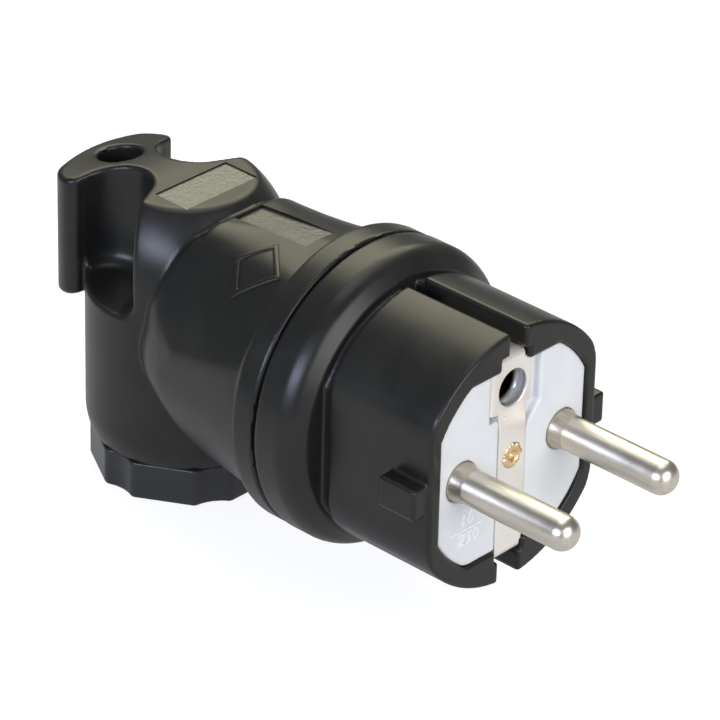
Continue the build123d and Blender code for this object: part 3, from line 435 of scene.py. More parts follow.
housing_rubber = skinned_material("black_rubber", dark=(0.0095, 0.0095, 0.009), light=(0.017, 0.0165, 0.0145))
# Recess floors: a paler grey that is partly rough matt rubber and partly painted sheen.
recess_rubber_painted_sheen = skinned_material(
    "black_rubber_rough_floor_painted_sheen", dark=(0.06, 0.06, 0.048), light=(0.105, 0.103, 0.084),
    grain=1400.0, specular=0.9, bump=0.9, depth=0.00008,
)
rear_housing.data.materials.append(housing_rubber)
rear_housing.data.materials.append(recess_rubber_painted_sheen)


def on_floor(x, y, below, middle, size, depth):
    """Whether a place, so far below the housing's skin, is on the floor of the recess, all in mm."""
    inside = abs(x - middle) < size[0] / 2 and abs(y) < size[1] / 2
    return inside and abs(below - depth) < FLOOR_TOLERANCE


# Faces on the recess floors take the paler material with its painted sheen.
for polygon in rear_housing.data.polygons:
    x, y, z = polygon.center / MM
    below_neck = recess_z + (x - NECK_RECESS_X) * math.tan(NECK_SLOPE) - z
    on_neck = on_floor(x, y, below_neck, NECK_RECESS_X, NECK_RECESS_SIZE, NECK_RECESS_DEPTH)
    on_pad = on_floor(x, y, PAD_HEIGHT - z, PAD_RECESS_X, PAD_RECESS_SIZE, PAD_RECESS_DEPTH)
    polygon.material_index = int(on_neck or on_pad)
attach(rear_housing, "root")
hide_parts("rear_housing")


# Diamond frame. A low moulded ridge on the near flank of the neck, part of the same rubber, with
# a plain middle.
DIAMOND_CORNERS = ((-40.8, -8.6), (-37.6, -4.9), (-33.0, -9.3), (-37.7, -12.2))
DIAMOND_STEPS, DIAMOND_ABOVE, DIAMOND_DROPS, DIAMOND_DROP, DIAMOND_LIFT = 24, 15.0, 12, 0.8, 1.0
DIAMOND_RIDGE = ((0.46, -0.2), (0.38, 0.18), (0.26, 0.28), (-0.26, 0.28), (-0.38, 0.18), (-0.46, -0.2))


def offset_outline(corners, distance, steps):
    """The outline moved outwards by a distance, with each side cut into steps."""
    corners = np.array(corners, float)
    sides = np.roll(corners, -1, 0) - corners
    sides /= np.linalg.norm(sides, axis=1)[:, None]
    normals = np.stack([sides[:, 1], -sides[:, 0]], 1)
    if np.dot(normals[0], corners[0] - corners.mean(0)) < 0:
        normals = -normals
    before = np.roll(normals, 1, 0)
    mitre = (normals + before) / (1 + (normals * before).sum(1))[:, None]
    moved = corners + mitre * distance
    share = np.linspace(0, 1, steps, endpoint=False)[None, :, None]
    return (moved[:, None] * (1 - share) + np.roll(moved, -1, 0)[:, None] * share).reshape(-1, 2)


# Each outline is let down onto the neck from above, then drawn to its height over the neck.
ridge_points = []
for spread, height in DIAMOND_RIDGE:
    plan = offset_outline(DIAMOND_CORNERS, spread, DIAMOND_STEPS)
    points = np.column_stack([plan, np.full(len(plan), DIAMOND_ABOVE)])
    for _ in range(DIAMOND_DROPS):
        points[:, 2] -= DIAMOND_DROP * neck_field(*points.T)
    ridge_points.append(drawn_to(lambda x, y, z: neck_field(x, y, z) - height, points, DIAMOND_LIFT))
count = len(ridge_points[0])
ridge_faces = []
for row in range(0, (len(DIAMOND_RIDGE) - 1) * count, count):
    for k in range(count):
        after = (k + 1) % count
        ridge_faces.append((row + k, row + after, row + count + after, row + count + k))
ridge_mesh = bpy.data.meshes.new("flank_frame")
ridge_mesh.from_pydata((np.concatenate(ridge_points) * MM).tolist(), [], ridge_faces)
ridge_mesh.shade_smooth()
ridge_mesh.materials.append(housing_rubber)
flank_frame = add_piece("flank_frame", ridge_mesh)
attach(flank_frame, "root")


# Front shroud. Black rubber moulding round the insulator: a barrel with two flats, a lug on each
# flat, an earth groove above and below, the front half of the collar and the spigot behind it.
BARREL_RADIUS, FLAT_HALF, BARREL_EDGE = 18.4, 15.7, 1.2
RIM_X, RIM_EDGE = 0.35, 0.45
CONE_FRONT, CONE_BACK, CONE_EDGE = -18.6, -20.6, 0.2
COLLAR_RADIUS, COLLAR_EDGE = 20.986, 1.1
COLLAR_BACK, COLLAR_BACK_EDGE = -25.5, 0.25
SEAM_FRONT, SEAM_RADIUS, SEAM_FLAT, SEAM_EDGE = -17.4, 17.5, 15.4, 0.25
SPIGOT_RADIUS, SPIGOT_BACK, SPIGOT_OVERLAP = 17.386, -29.5, 1.0
LUG_MIDDLE, LUG_HALF_LENGTH, LUG_OUT = -3.25, 3.05, 18.15
LUG_BOTTOM, LUG_TOP = -2.5, 1.9
LUG_EDGE, LUG_FACE_EDGE, LUG_FILLET = 0.3, 0.35, 0.2
SEAT_RADIUS, SEAT_HALF, SEAT_HEIGHT, SEAT_BACK, SEAT_EDGE = 15.7, 13.8, 13.3, -16.0, 0.25
GROOVE_TOP, GROOVE_BOTTOM = (-1.4, 1.5), (-2.1, 1.8)
GROOVE_FLOOR, GROOVE_SINK, GROOVE_EDGE = 15.1, 0.4, 0.4
LIP_SLOT = (-2.9, 2.45)
REAR_SPACE_RADIUS, REAR_SPACE_FRONT = 14.986, -18.0
WEB_OPENING_HALF, WEB_OPENING_HEIGHT, WEB_FRONT = 13.7, 7.6, -15.8
CARRIER_SCREW_Y, CARRIER_SCREW_Z, SCREW_HOLE_RADIUS = 7.5, 10.2, 1.3
SHROUD_SPACE, SHROUD_STEP = ((-30.3, -21.7, -21.7), (1.0, 21.7, 21.7)), 0.34


def shroud_field(x, y, z):
    """Front shroud with its insulator seat, web and rear space."""
    radius, side, height = np.hypot(y, z), np.abs(y), np.abs(z)
    barrel = round_meet(radius - BARREL_RADIUS, side - FLAT_HALF, BARREL_EDGE)
    barrel = round_meet(barrel, x - RIM_X, RIM_EDGE)
    seam = np.minimum(SEAM_RADIUS - radius, SEAM_FLAT - side)
    barrel = round_cut(barrel, np.maximum(seam, x - SEAM_FRONT), SEAM_EDGE)
    barrel = np.maximum(barrel, CONE_BACK - x)
    lean = math.atan2(COLLAR_RADIUS - BARREL_RADIUS, CONE_FRONT - CONE_BACK)
    cone = (radius - BARREL_RADIUS) * math.cos(lean) + (x - CONE_FRONT) * math.sin(lean)
    collar = round_meet(radius - COLLAR_RADIUS, cone, COLLAR_EDGE)
    collar = round_meet(collar, x - CONE_FRONT, CONE_EDGE)
    collar = round_meet(collar, COLLAR_BACK - x, COLLAR_BACK_EDGE)
    spigot = np.maximum(radius - SPIGOT_RADIUS, slab(x, SPIGOT_BACK, COLLAR_BACK + SPIGOT_OVERLAP))
    lug = round_meet(np.abs(x - LUG_MIDDLE) - LUG_HALF_LENGTH, slab(z, LUG_BOTTOM, LUG_TOP), LUG_EDGE)
    lug = round_meet(lug, side - LUG_OUT, LUG_FACE_EDGE)
    body = np.minimum(np.minimum(barrel, collar), spigot)
    body = round_join(body, lug, LUG_FILLET)
    seat = np.maximum(np.maximum(radius - SEAT_RADIUS, side - SEAT_HALF), height - SEAT_HEIGHT)
    slot = np.maximum(slab(y, *LIP_SLOT), height - GROOVE_FLOOR)
    seat = np.maximum(np.minimum(seat, slot), SEAT_BACK - x)
    body = round_cut(body, seat, SEAT_EDGE)
    groove = np.where(z > 0, slab(y, *GROOVE_TOP), slab(y, *GROOVE_BOTTOM))
    groove = np.maximum(np.maximum(groove, GROOVE_FLOOR - GROOVE_SINK - height), CONE_FRONT - x)
    body = round_cut(body, groove, GROOVE_EDGE)
    rear = np.maximum(radius - REAR_SPACE_RADIUS, x - REAR_SPACE_FRONT)
    opening = np.maximum(side - WEB_OPENING_HALF, height - WEB_OPENING_HEIGHT)
    opening = np.maximum(opening, np.maximum(radius - REAR_SPACE_RADIUS, x - WEB_FRONT))
    holes = np.hypot(side - CARRIER_SCREW_Y, height - CARRIER_SCREW_Z) - SCREW_HOLE_RADIUS
    holes = np.maximum(holes, x - WEB_FRONT)
    for space in (rear, opening, holes):
        body = np.maximum(body, -space)
    return body


front_shroud = mould("front_shroud_rubber", shroud_field, *SHROUD_SPACE, SHROUD_STEP)
front_shroud.data.materials.append(housing_rubber)
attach(front_shroud, "root")
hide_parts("front_shroud")


# Contact carrier. Pale grey-white thermoset insulator, moulded, held in the shroud by four screws.
# Its face has a recess for the earth strip, wider and deeper round the earth hole.
PIN_Y, EARTH_Z = 9.5, 9.8
FACE_X, FACE_EDGE = 0.0, 0.3
CARRIER_RADIUS, CARRIER_HALF, CARRIER_HEIGHT, CARRIER_EDGE = 15.6, 13.7, 13.2, 0.5
TONGUE, TONGUE_HEIGHT = (-2.7, 2.3), 14.1
FIN_Y, FIN_HALF, FIN_HEIGHT, FIN_LENGTH = 4.675, 0.6, 6.5, (-25.0, -15.8)
CHANNEL, CHANNEL_FLOOR, CHANNEL_EDGE = (-2.78, 2.62), -0.82, 0.12
HEAD_BOTTOM = 6.8
WELL, WELL_BELOW, WELL_FLOOR, WELL_CORNER, WELL_EDGE = (-4.55, 0.0), 0.7, -2.6, 0.5, 0.15
SHELF_PLACES, SHELF_RIGHT, SHELF_LEAN = (3.1, 3.9, 5.0, 6.2), (2.62, 3.05, 4.1, 5.0), 0.7
SHELF_LEFT, SHELF_BOTTOM, SHELF_FLOOR, SHELF_EDGE = -1.0, 3.0, -1.12, 0.3
PIN_BORE, RIVET_BORE = 2.85, 1.6
SLEEVE_BORE, SLEEVE_BORE_END = 2.89, -15.0
TAPPED_BORE, TAPPED_BORE_END = 1.24, -8.0
CARRIER_SPACE, CARRIER_STEP = ((-25.6, -14.3, -14.7), (0.6, 14.3, 14.7)), 0.26


def carrier_field(x, y, z):
    """Insulator block with tongues, fins, strip recess and the holes for pins, sleeve and rivet."""
    radius, side, height = np.hypot(y, z), np.abs(y), np.abs(z)
    plan = np.maximum(radius - CARRIER_RADIUS, side - CARRIER_HALF)
    plan = round_meet(plan, height - CARRIER_HEIGHT, CARRIER_EDGE)
    tongue = np.maximum(slab(y, *TONGUE), height - TONGUE_HEIGHT)
    front = round_meet(np.minimum(plan, tongue), x - FACE_X, FACE_EDGE)
    body = np.maximum(front, SEAT_BACK - x)
    fin = np.maximum(np.abs(side - FIN_Y) - FIN_HALF, height - FIN_HEIGHT)
    body = np.minimum(body, np.maximum(fin, slab(x, *FIN_LENGTH)))
    channel = np.maximum(slab(y, *CHANNEL), CHANNEL_FLOOR - x)
    body = round_cut(body, channel, CHANNEL_EDGE)
    well = round_meet(slab(y, *WELL), HEAD_BOTTOM - WELL_BELOW - z, WELL_CORNER)
    body = round_cut(body, np.maximum(well, WELL_FLOOR - x), WELL_EDGE)
    right = np.interp(z, SHELF_PLACES, SHELF_RIGHT)
    shelf = np.maximum(SHELF_LEAN * (y - right), SHELF_LEFT - y)
    shelf = np.maximum(shelf, np.maximum(SHELF_BOTTOM - z, SHELF_FLOOR - x))
    body = round_cut(body, shelf, SHELF_EDGE)
    pins = np.hypot(side - PIN_Y, z) - PIN_BORE
    rivet = radius - RIVET_BORE
    sleeve = np.maximum(np.hypot(y, z - EARTH_Z) - SLEEVE_BORE, SLEEVE_BORE_END - x)
    tapped = np.hypot(side - CARRIER_SCREW_Y, height - CARRIER_SCREW_Z) - TAPPED_BORE
    for space in (pins, rivet, sleeve, np.maximum(tapped, x - TAPPED_BORE_END)):
        body = np.maximum(body, -space)
    return body


contact_carrier = mould("contact_carrier", carrier_field, *CARRIER_SPACE, CARRIER_STEP)
carrier_plastic = skinned_material(
    "pale_insulator", dark=(0.76, 0.775, 0.79), light=(0.82, 0.835, 0.85), dust=(0.42, 0.4, 0.36),
    grain=1800.0, clouds=160.0, specular=0.45, bump=0.12,
)
contact_carrier.data.materials.append(carrier_plastic)
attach(contact_carrier, "root")
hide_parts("contact_carrier")


# Rating digits. The plug's current in amperes over its voltage, raised by the mould on the insulator
# below the near pin.
RATING_RAISE, RATING_SINK, RATING_BOLD, RATING_LEAN = 0.17, 0.1, 0.035, 0.15
RATING_MARKS = (("16", -8.4, -6.7, 2.5), ("250", -8.0, -9.6, 2.5))
RATING_BAR = (-11.6, -5.3, -7.5, -7.25)


def digits(body, y, z, size):
    """Raised digits on the insulator's face, their foot at (y, z) mm, as points and faces."""
    curve = bpy.data.curves.new("digits_" + body, "FONT")
    curve.body, curve.size, curve.align_x, curve.shear = body, size, "CENTER", RATING_LEAN
    curve.extrude, curve.offset = (RATING_RAISE + RATING_SINK) / 2, RATING_BOLD
    draft = add_piece("digits_" + body, curve)
    mesh = bpy.data.meshes.new_from_object(draft.evaluated_get(bpy.context.evaluated_depsgraph_get()))
    bpy.data.objects.remove(draft)
    middle = (RATING_RAISE - RATING_SINK) / 2
    points = [(vertex.co.z + middle, vertex.co.x + y, vertex.co.y + z) for vertex in mesh.vertices]
    return points, [list(polygon.vertices) for polygon in mesh.polygons]


rating_points, rating_faces = [], []
for body, y, z, size in RATING_MARKS:
    points, faces = digits(body, y, z, size)
    rating_faces += [[index + len(rating_points) for index in face] for face in faces]
    rating_points += points
bar = len(rating_points)
rating_points += [
    (x, y, z) for x in (-RATING_SINK, RATING_RAISE) for y in RATING_BAR[:2] for z in RATING_BAR[2:]
]
rating_faces += [[bar + index for index in face] for face in BLOCK_FACES]
rating_mesh = bpy.data.meshes.new("rating_digits")
rating_mesh.from_pydata([tuple(value * MM for value in point) for point in rating_points], [], rating_faces)
rating_white = skinned_material(
    "rating_white", dark=(0.93, 0.93, 0.94), light=(0.97, 0.97, 0.98), grain=1500.0
)
rating_mesh.materials.append(rating_white)
rating_digits = add_piece("rating_digits", rating_mesh)
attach(rating_digits, "root")


# Earth strip. Nickel-plated sheet folded over both ends of the insulator; round the earth hole it
# is wider, set back a little and its left edge is turned in.
SHEET = 0.8
STRIP_X, STRIP_SET_BACK, SET_BACK_RUN = 0.02, 0.3, (3.6, 7.2)
STRIP_HALF, STRIP_TOP, STRIP_BEND = 2.5, 15.0, 1.2
HEAD_LEFT, HEAD_RIGHT, HEAD_TOP, HEAD_BEND = -4.2, 3.45, 13.2, 0.9
BAND_HEIGHT, TAB_WIDTH, OUTLINE_SPARE = 13.6, (-2.6, 2.2), 1.0
FOLD_HEIGHT, FOLD_BACK, TURNED_BACK = 13.9, -15.5, -2.4
STAMPED_CORNER, STAMPED_EDGE = 0.3, 0.15
EARTH_HOLE, STRIP_RIVET_HOLE = 2.6, 1.55
STRIP_SPACE, STRIP_STEP = ((-16.1, -5.0, -15.6), (0.7, 4.3, 15.6)), 0.13


def strip_field(x, y, z):
    """Sheet metal strip: an outer skin, its thickness, and the outline it was stamped to."""
    height = np.abs(z)
    front = x - STRIP_X + STRIP_SET_BACK * ramp(z, *SET_BACK_RUN)
    skin = round_meet(front, height - STRIP_TOP, STRIP_BEND)
    skin = round_meet(skin, HEAD_LEFT - y, HEAD_BEND)
    sheet = np.maximum(skin, -SHEET - skin)
    band = np.maximum(np.abs(y) - STRIP_HALF, height - BAND_HEIGHT)
    head = np.maximum(slab(y, HEAD_LEFT - OUTLINE_SPARE, HEAD_RIGHT), slab(z, HEAD_BOTTOM, HEAD_TOP))
    tabs = np.maximum(slab(y, *TAB_WIDTH), height - STRIP_TOP - OUTLINE_SPARE)
    outline = round_join(np.minimum(band, tabs), head, STAMPED_CORNER)
    plate = round_meet(sheet, outline, STAMPED_EDGE)
    back = np.where(height > FOLD_HEIGHT, FOLD_BACK, TURNED_BACK)
    plate = np.maximum(plate, back - x)
    plate = round_cut(plate, np.hypot(y, z - EARTH_Z) - EARTH_HOLE, STAMPED_EDGE)
    return np.maximum(plate, STRIP_RIVET_HOLE - np.hypot(y, z))


earth_strip = mould("earth_strip_sheet", strip_field, *STRIP_SPACE, STRIP_STEP)


def drawn_metal():
    """Marks of drawing, turning and handling on plated metal: streaks along X, stains and a fine tooth."""
    tree, given, result = add_group("drawn_metal", ("Bright", "Warm", "Stain"), ("Along", "Across"))
    place = add_node(tree, "ShaderNodeTexCoord").outputs["Object"]
    stretch = {"X": given["Along"], "Y": given["Across"], "Z": given["Across"]}
    scale = add_node(tree, "ShaderNodeCombineXYZ", {}, stretch).outputs["Vector"]
    drawn = add_node(tree, "ShaderNodeVectorMath", {"operation": "MULTIPLY"}, {0: place, 1: scale}).outputs[0]
    streak = noise(tree, drawn, scale=1.0, detail=5.0, roughness=0.6)
    stain = noise(tree, place, scale=210.0, detail=5.0, roughness=0.65)
    tooth = noise(tree, place, scale=3200.0, detail=2.0, roughness=0.5)
    yellowed = between(tree, streak, 0.42, 0.66, 0, 1)
    stained = between(tree, stain, 0.6, 0.78, 0, 0.55)
    colour = mix_colours(tree, yellowed, given["Bright"], given["Warm"])
    colour = mix_colours(tree, stained, colour, given["Stain"])
    tree.links.new(colour, result["Colour"])
    tree.links.new(between(tree, stain, 0.3, 0.75, 0.27, 0.4), result["Roughness"])
    tree.links.new(calculate(tree, "ADD", streak, tooth), result["Height"])
    return tree


DRAWN_METAL = drawn_metal()


def metal_material(
    name, bright, warm, stain, along=60.0, across=900.0, metallic=1.0, bump=0.12, depth=0.00003
):
    """A metal with the drawn marks."""
    colours, scales = {"Bright": bright, "Warm": warm, "Stain": stain}, {"Along": along, "Across": across}
    return marked_material(name, DRAWN_METAL, colours, scales, {"Metallic": metallic}, bump, depth)


strip_nickel = metal_material(
    "strip_nickel", bright=(0.95, 0.9, 0.85), warm=(0.91, 0.855, 0.79), stain=(0.8, 0.73, 0.65),
    along=300.0, across=140.0, metallic=0.6, bump=0.1,
)
earth_strip.data.materials.append(strip_nickel)
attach(earth_strip, "root")
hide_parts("earth_strip")


# Earth sleeve. Spring sleeve rolled from plated sheet behind the earth hole. Its mouth is turned out
# a little to lead the earth pin in; deeper in, the bore is painted near-black as painted shade.
LATHE_SHARP = math.radians(40)


def lathe(name, profile, centre, sides=96):
    """A turned piece about a line along X: the profile's (x, radius) points swept round it."""
    profile = np.array(profile, float)
    angle = np.linspace(0, 2 * np.pi, sides, endpoint=False)
    rows = len(profile)
    points = np.empty((rows, sides, 3))
    points[..., 0] = profile[:, :1]
    points[..., 1] = centre[0] + profile[:, 1:] * np.cos(angle)
    points[..., 2] = centre[1] + profile[:, 1:] * np.sin(angle)
    index = np.arange(rows * sides).reshape(rows, sides)
    after = np.roll(index, -1, 1)
    faces = np.stack([index[:-1], after[:-1], after[1:], index[1:]], -1).reshape(-1, 4)
    mesh = bpy.data.meshes.new(name)
    mesh.from_pydata((points.reshape(-1, 3) * MM).tolist(), [], faces.tolist())
    mesh.shade_smooth()
    mesh.set_sharp_from_angle(angle=LATHE_SHARP)
    return add_piece(name, mesh)


SLEEVE_PAINTED_SHADE_FROM = -2.6
SLEEVE_PROFILE = (
    (-1.95, 2.84), (-1.95, 2.74), (-2.15, 2.62), (-2.5, 2.5), (SLEEVE_PAINTED_SHADE_FROM, 2.5), (-14.6, 2.5),
    (-14.7, 2.6), (-14.7, 2.75), (-14.6, 2.85), (-2.05, 2.85), (-1.95, 2.84),
)
earth_sleeve = lathe("earth_sleeve_spring", SLEEVE_PROFILE[::-1], (0, EARTH_Z))
sleeve_nickel = metal_material(
    "sleeve_nickel", bright=(0.86, 0.85, 0.84), warm=(0.78, 0.76, 0.73), stain=(0.5, 0.47, 0.43)
)
# Near-black painted shade for the deep bore behind the mouth.
sleeve_painted_shade = metal_material(
    "sleeve_painted_shade", bright=(0.02, 0.02, 0.02), warm=(0.014, 0.013, 0.012), stain=(0.008, 0.008, 0.008)
)
earth_sleeve.data.materials.append(sleeve_nickel)
earth_sleeve.data.materials.append(sleeve_painted_shade)
# Faces deeper than the mouth take the painted shade of the bore.
for polygon in earth_sleeve.data.polygons:
    polygon.material_index = int(polygon.center.x < SLEEVE_PAINTED_SHADE_FROM * MM)
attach(earth_sleeve, "root")
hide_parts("earth_sleeve")


# Earth rivet. Hollow brass rivet through strip, insulator and earth terminal; its front flange was
# rolled over by a punch and has torn a little at the edge.
RIVET_PROFILE = (
    (-0.6, 0.0), (-0.55, 0.3), (-0.35, 0.5), (-0.05, 0.64), (0.13, 0.82), (0.24, 1.08), (0.28, 1.36),
    (0.26, 1.58), (0.19, 1.74), (0.1, 1.84), (0.05, 1.85), (0.04, 1.5), (-17.2, 1.5), (-17.2, 1.85),
    (-17.6, 1.85), (-17.6, 0.0),
)
RIVET_SIDES, RIVET_TEARS, RIVET_TEAR_LIMIT, RIVET_SEED = 120, 40, 1.6, 16
RIVET_TEAR, RIVET_RAG, RIVET_LEAN = 0.11, 0.07, 0.12
RIVET_EYE, RIVET_EYE_DEPTH, RIVET_FLANGE = 0.9, -0.7, 0.6
earth_rivet = lathe("earth_rivet_peened", RIVET_PROFILE[::-1], (0, 0), RIVET_SIDES)
random = np.random.default_rng(RIVET_SEED)
tear = np.clip(random.normal(0, 1, RIVET_TEARS), -RIVET_TEAR_LIMIT, RIVET_TEAR_LIMIT)
for vertex in earth_rivet.data.vertices:
    x, y, z = vertex.co / MM
    reach = math.hypot(y, z)
    if x > 0.0 and reach > RIVET_EYE:
        turn = (math.atan2(z, y) / (2 * math.pi) * RIVET_TEARS) % RIVET_TEARS
        rough = np.interp(turn, np.arange(RIVET_TEARS + 1), np.append(tear, tear[0]))
        share = min(1, (reach - RIVET_EYE) / RIVET_FLANGE)
        shift = 1 - RIVET_RAG * share * max(rough, 0)
        vertex.co.x -= RIVET_TEAR * MM * abs(rough) * share
        vertex.co.y *= shift
        vertex.co.z *= shift
    if x > RIVET_EYE_DEPTH and reach < RIVET_EYE:
        vertex.co.y += RIVET_LEAN * MM
        vertex.co.z -= RIVET_LEAN * MM
rivet_brass = metal_material(
    "rivet_brass", bright=(0.92, 0.69, 0.43), warm=(0.8, 0.53, 0.28), stain=(0.4, 0.2, 0.08),
    along=900.0, across=900.0, bump=0.5, depth=0.0001,
)
earth_rivet.data.materials.append(rivet_brass)
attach(earth_rivet, "root")
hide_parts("earth_rivet")


# Pins. Turned brass, nickel-plated, pressed into the insulator; a hollow flare at the foot, painted
# darker and browner as painted shade where it meets the insulator, a rounded tip, and plating that
# has yellowed a little in streaks along the length.
PIN_RADIUS, PIN_FOOT, PIN_FLARE, PIN_LENGTH, PIN_TIP = 2.4, 2.75, 2.0, 19.0, 2.1
PIN_TAIL, PIN_TAIL_RADIUS = -20.0, 2.0
PIN_STEP, PIN_STEP_LENGTH = 0.015, 0.05
FLARE_POINTS, TIP_POINTS, PIN_SIDES = 10, 12, 128
pin_profile = [(PIN_TAIL, 0.0), (PIN_TAIL, PIN_TAIL_RADIUS), (SEAT_BACK, PIN_TAIL_RADIUS)]
pin_profile += [(SEAT_BACK, PIN_FOOT), (0.0, PIN_FOOT)]
for share in np.linspace(1 / FLARE_POINTS, 1, FLARE_POINTS):
    pin_profile.append((PIN_FLARE * share, PIN_RADIUS + (PIN_FOOT - PIN_RADIUS) * (1 - share) ** 2))
pin_profile.append((PIN_FLARE + PIN_STEP_LENGTH, PIN_RADIUS - PIN_STEP))
for turn in np.linspace(0, np.pi / 2, TIP_POINTS):
    along, out = PIN_TIP * math.sin(turn), PIN_TIP * math.cos(turn)
    pin_profile.append((PIN_LENGTH - PIN_TIP + along, PIN_RADIUS - PIN_TIP + out - PIN_STEP))
pin_profile.append((PIN_LENGTH, 0.0))
pin_nickel = metal_material(
    "pin_nickel", bright=(0.74, 0.7, 0.63), warm=(0.66, 0.59, 0.48), stain=(0.56, 0.48, 0.37),
    across=1500.0,
)
# Darker, browner nickel at the foot: painted shade in the corner against the insulator.
pin_foot_painted_shade = metal_material(
    "pin_foot_painted_shade", bright=(0.6, 0.54, 0.46), warm=(0.5, 0.42, 0.33), stain=(0.38, 0.3, 0.21),
    across=1500.0,
)
for name, y in (("live_pin", -PIN_Y), ("neutral_pin", PIN_Y)):
    pin = lathe(name + "_turned", pin_profile, (y, 0), PIN_SIDES)
    pin.data.materials.append(pin_nickel)
    pin.data.materials.append(pin_foot_painted_shade)
    # Faces at the flare and behind it take the foot's painted shade.
    for polygon in pin.data.polygons:
        polygon.material_index = int(polygon.center.x < PIN_FLARE * MM)
    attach(pin, "root")
    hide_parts(name)


# Terminals and screws. Brass blocks behind the insulator, each with a slotted screw, and the four
# screws that hold the insulator; all inside, out of sight.
terminal_brass = metal_material(
    "terminal_brass", bright=(0.72, 0.54, 0.28), warm=(0.58, 0.41, 0.19), stain=(0.28, 0.19, 0.1),
    along=240.0, across=240.0,
)
screw_steel = metal_material(
    "screw_steel", bright=(0.6, 0.6, 0.61), warm=(0.46, 0.45, 0.43), stain=(0.2, 0.18, 0.16),
    along=500.0, across=500.0,
)


def finish_node(node, material):
    """Gives a CAD node that is shown as it is its material in every slot."""
    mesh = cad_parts[node].data
    if not mesh.materials:
        mesh.materials.append(material)
    for place in range(len(mesh.materials)):
        mesh.materials[place] = material


for node in ("live_terminal", "neutral_terminal", "earth_terminal"):
    finish_node(node, terminal_brass)

SCREW_SIZES = ("Head Radius", "Head Height", "Shank Radius", "Shank Length", "Slot Width", "Slot Depth")
TERMINAL_SCREW, CARRIER_SCREW = (2.4, 1.8, 1.5, 2.6, 0.8, 0.9), (2.1, 1.8, 1.2, 9.6, 0.8, 0.9)
SCREW_SIDES = 48
screw_tree = bpy.data.node_groups.new("slotted_screws", "GeometryNodeTree")
screw_inputs = {}
for name, kind in (
    ("Places", "Geometry"), *((size, "Float") for size in SCREW_SIZES), ("Turn", "Vector"),
    ("Metal", "Material"),
):
    socket = screw_tree.interface.new_socket(name, in_out="INPUT", socket_type="NodeSocket" + kind)
    screw_inputs[name] = socket.identifier
screw_tree.interface.new_socket("Screws", in_out="OUTPUT", socket_type="NodeSocketGeometry")
given = screw_tree.nodes.new("NodeGroupInput").outputs


def share_of(size, share):
    """A share of one of the screw's sizes."""
    return calculate(screw_tree, "MULTIPLY", given[size], share)


def along_screw(solid, height):
    """A solid of the screw moved along the screw's length."""
    place = add_node(screw_tree, "ShaderNodeCombineXYZ", {}, {"Z": height}).outputs[0]
    moved = {"Geometry": solid, "Translation": place}
    return add_node(screw_tree, "GeometryNodeTransform", {}, moved).outputs[0]


def round_bar(radius, length):
    """A round bar about the screw's middle line."""
    sizes = {"Vertices": SCREW_SIDES, "Radius": given[radius], "Depth": given[length]}
    return add_node(screw_tree, "GeometryNodeMeshCylinder", {}, sizes).outputs["Mesh"]


# The slot is cut by a bar twice as long as the head is wide, sunk by half its height.
slot_sizes = {"X": share_of("Head Radius", 4), "Y": given["Slot Width"], "Z": share_of("Slot Depth", 2)}
slot_size = add_node(screw_tree, "ShaderNodeCombineXYZ", {}, slot_sizes).outputs[0]
slot = add_node(screw_tree, "GeometryNodeMeshCube", {}, {"Size": slot_size}).outputs["Mesh"]
cut = {
    0: along_screw(round_bar("Head Radius", "Head Height"), share_of("Head Height", 0.5)),
    1: along_screw(slot, share_of("Head Height", 1)),
}
head = add_node(screw_tree, "GeometryNodeMeshBoolean", {"operation": "DIFFERENCE"}, cut).outputs["Mesh"]
shank = along_screw(round_bar("Shank Radius", "Shank Length"), share_of("Shank Length", -0.5))
screw = screw_tree.nodes.new("GeometryNodeJoinGeometry")
screw_tree.links.new(head, screw.inputs[0])
screw_tree.links.new(shank, screw.inputs[0])
layout = {"Points": given["Places"], "Instance": screw.outputs[0], "Rotation": given["Turn"]}
set_out = add_node(screw_tree, "GeometryNodeInstanceOnPoints", {}, layout).outputs[0]
plain = add_node(screw_tree, "GeometryNodeRealizeInstances", {}, {0: set_out}).outputs[0]
plating = {"Geometry": plain, "Material": given["Metal"]}
plated = add_node(screw_tree, "GeometryNodeSetMaterial", {}, plating).outputs[0]
add_node(screw_tree, "NodeGroupOutput", {}, {0: plated})


def screws(name, places, sizes, turn):
    """Slotted screws with the undersides of their heads at the places, as one plain mesh."""
    mesh = bpy.data.meshes.new(name + "_places")
    mesh.from_pydata(places, [], [])
    piece = add_piece(name, mesh)
    modifier = piece.modifiers.new("slotted_screws", "NODES")
    modifier.node_group = screw_tree
    for size, value in zip(SCREW_SIZES, sizes):
        modifier[screw_inputs[size]] = value * MM
    modifier[screw_inputs["Turn"]] = turn
    modifier[screw_inputs["Metal"]] = screw_steel
    made = bpy.data.meshes.new_from_object(piece.evaluated_get(bpy.context.evaluated_depsgraph_get()))
    # The cut of the slot leaves an empty material place, so the steel is given anew.
    made.materials.clear()
    made.materials.append(screw_steel)
    made.polygons.foreach_set("material_index", [0] * len(made.polygons))
    piece.modifiers.clear()
    piece.data = made
    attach(piece, "root")
    return piece


screw_nodes = ("live_terminal_screw", "neutral_terminal_screw", "earth_terminal_screw")
places = []
for node in screw_nodes:
    low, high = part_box(node)
    places.append(((low.x + high.x) / 2, (low.y + high.y) / 2, high.z - TERMINAL_SCREW[1] * MM))
terminal_screws = screws("terminal_screws_slotted", places, TERMINAL_SCREW, (0, 0, 0))
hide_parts(*screw_nodes)
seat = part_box("carrier_screws")[0].x + CARRIER_SCREW[1] * MM
places = [
    (seat, y * MM, z * MM)
    for y in (-CARRIER_SCREW_Y, CARRIER_SCREW_Y) for z in (-CARRIER_SCREW_Z, CARRIER_SCREW_Z)
]
insulator_screws = screws("carrier_screws_slotted", places, CARRIER_SCREW, (0, math.radians(-90), 0))
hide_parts("carrier_screws")


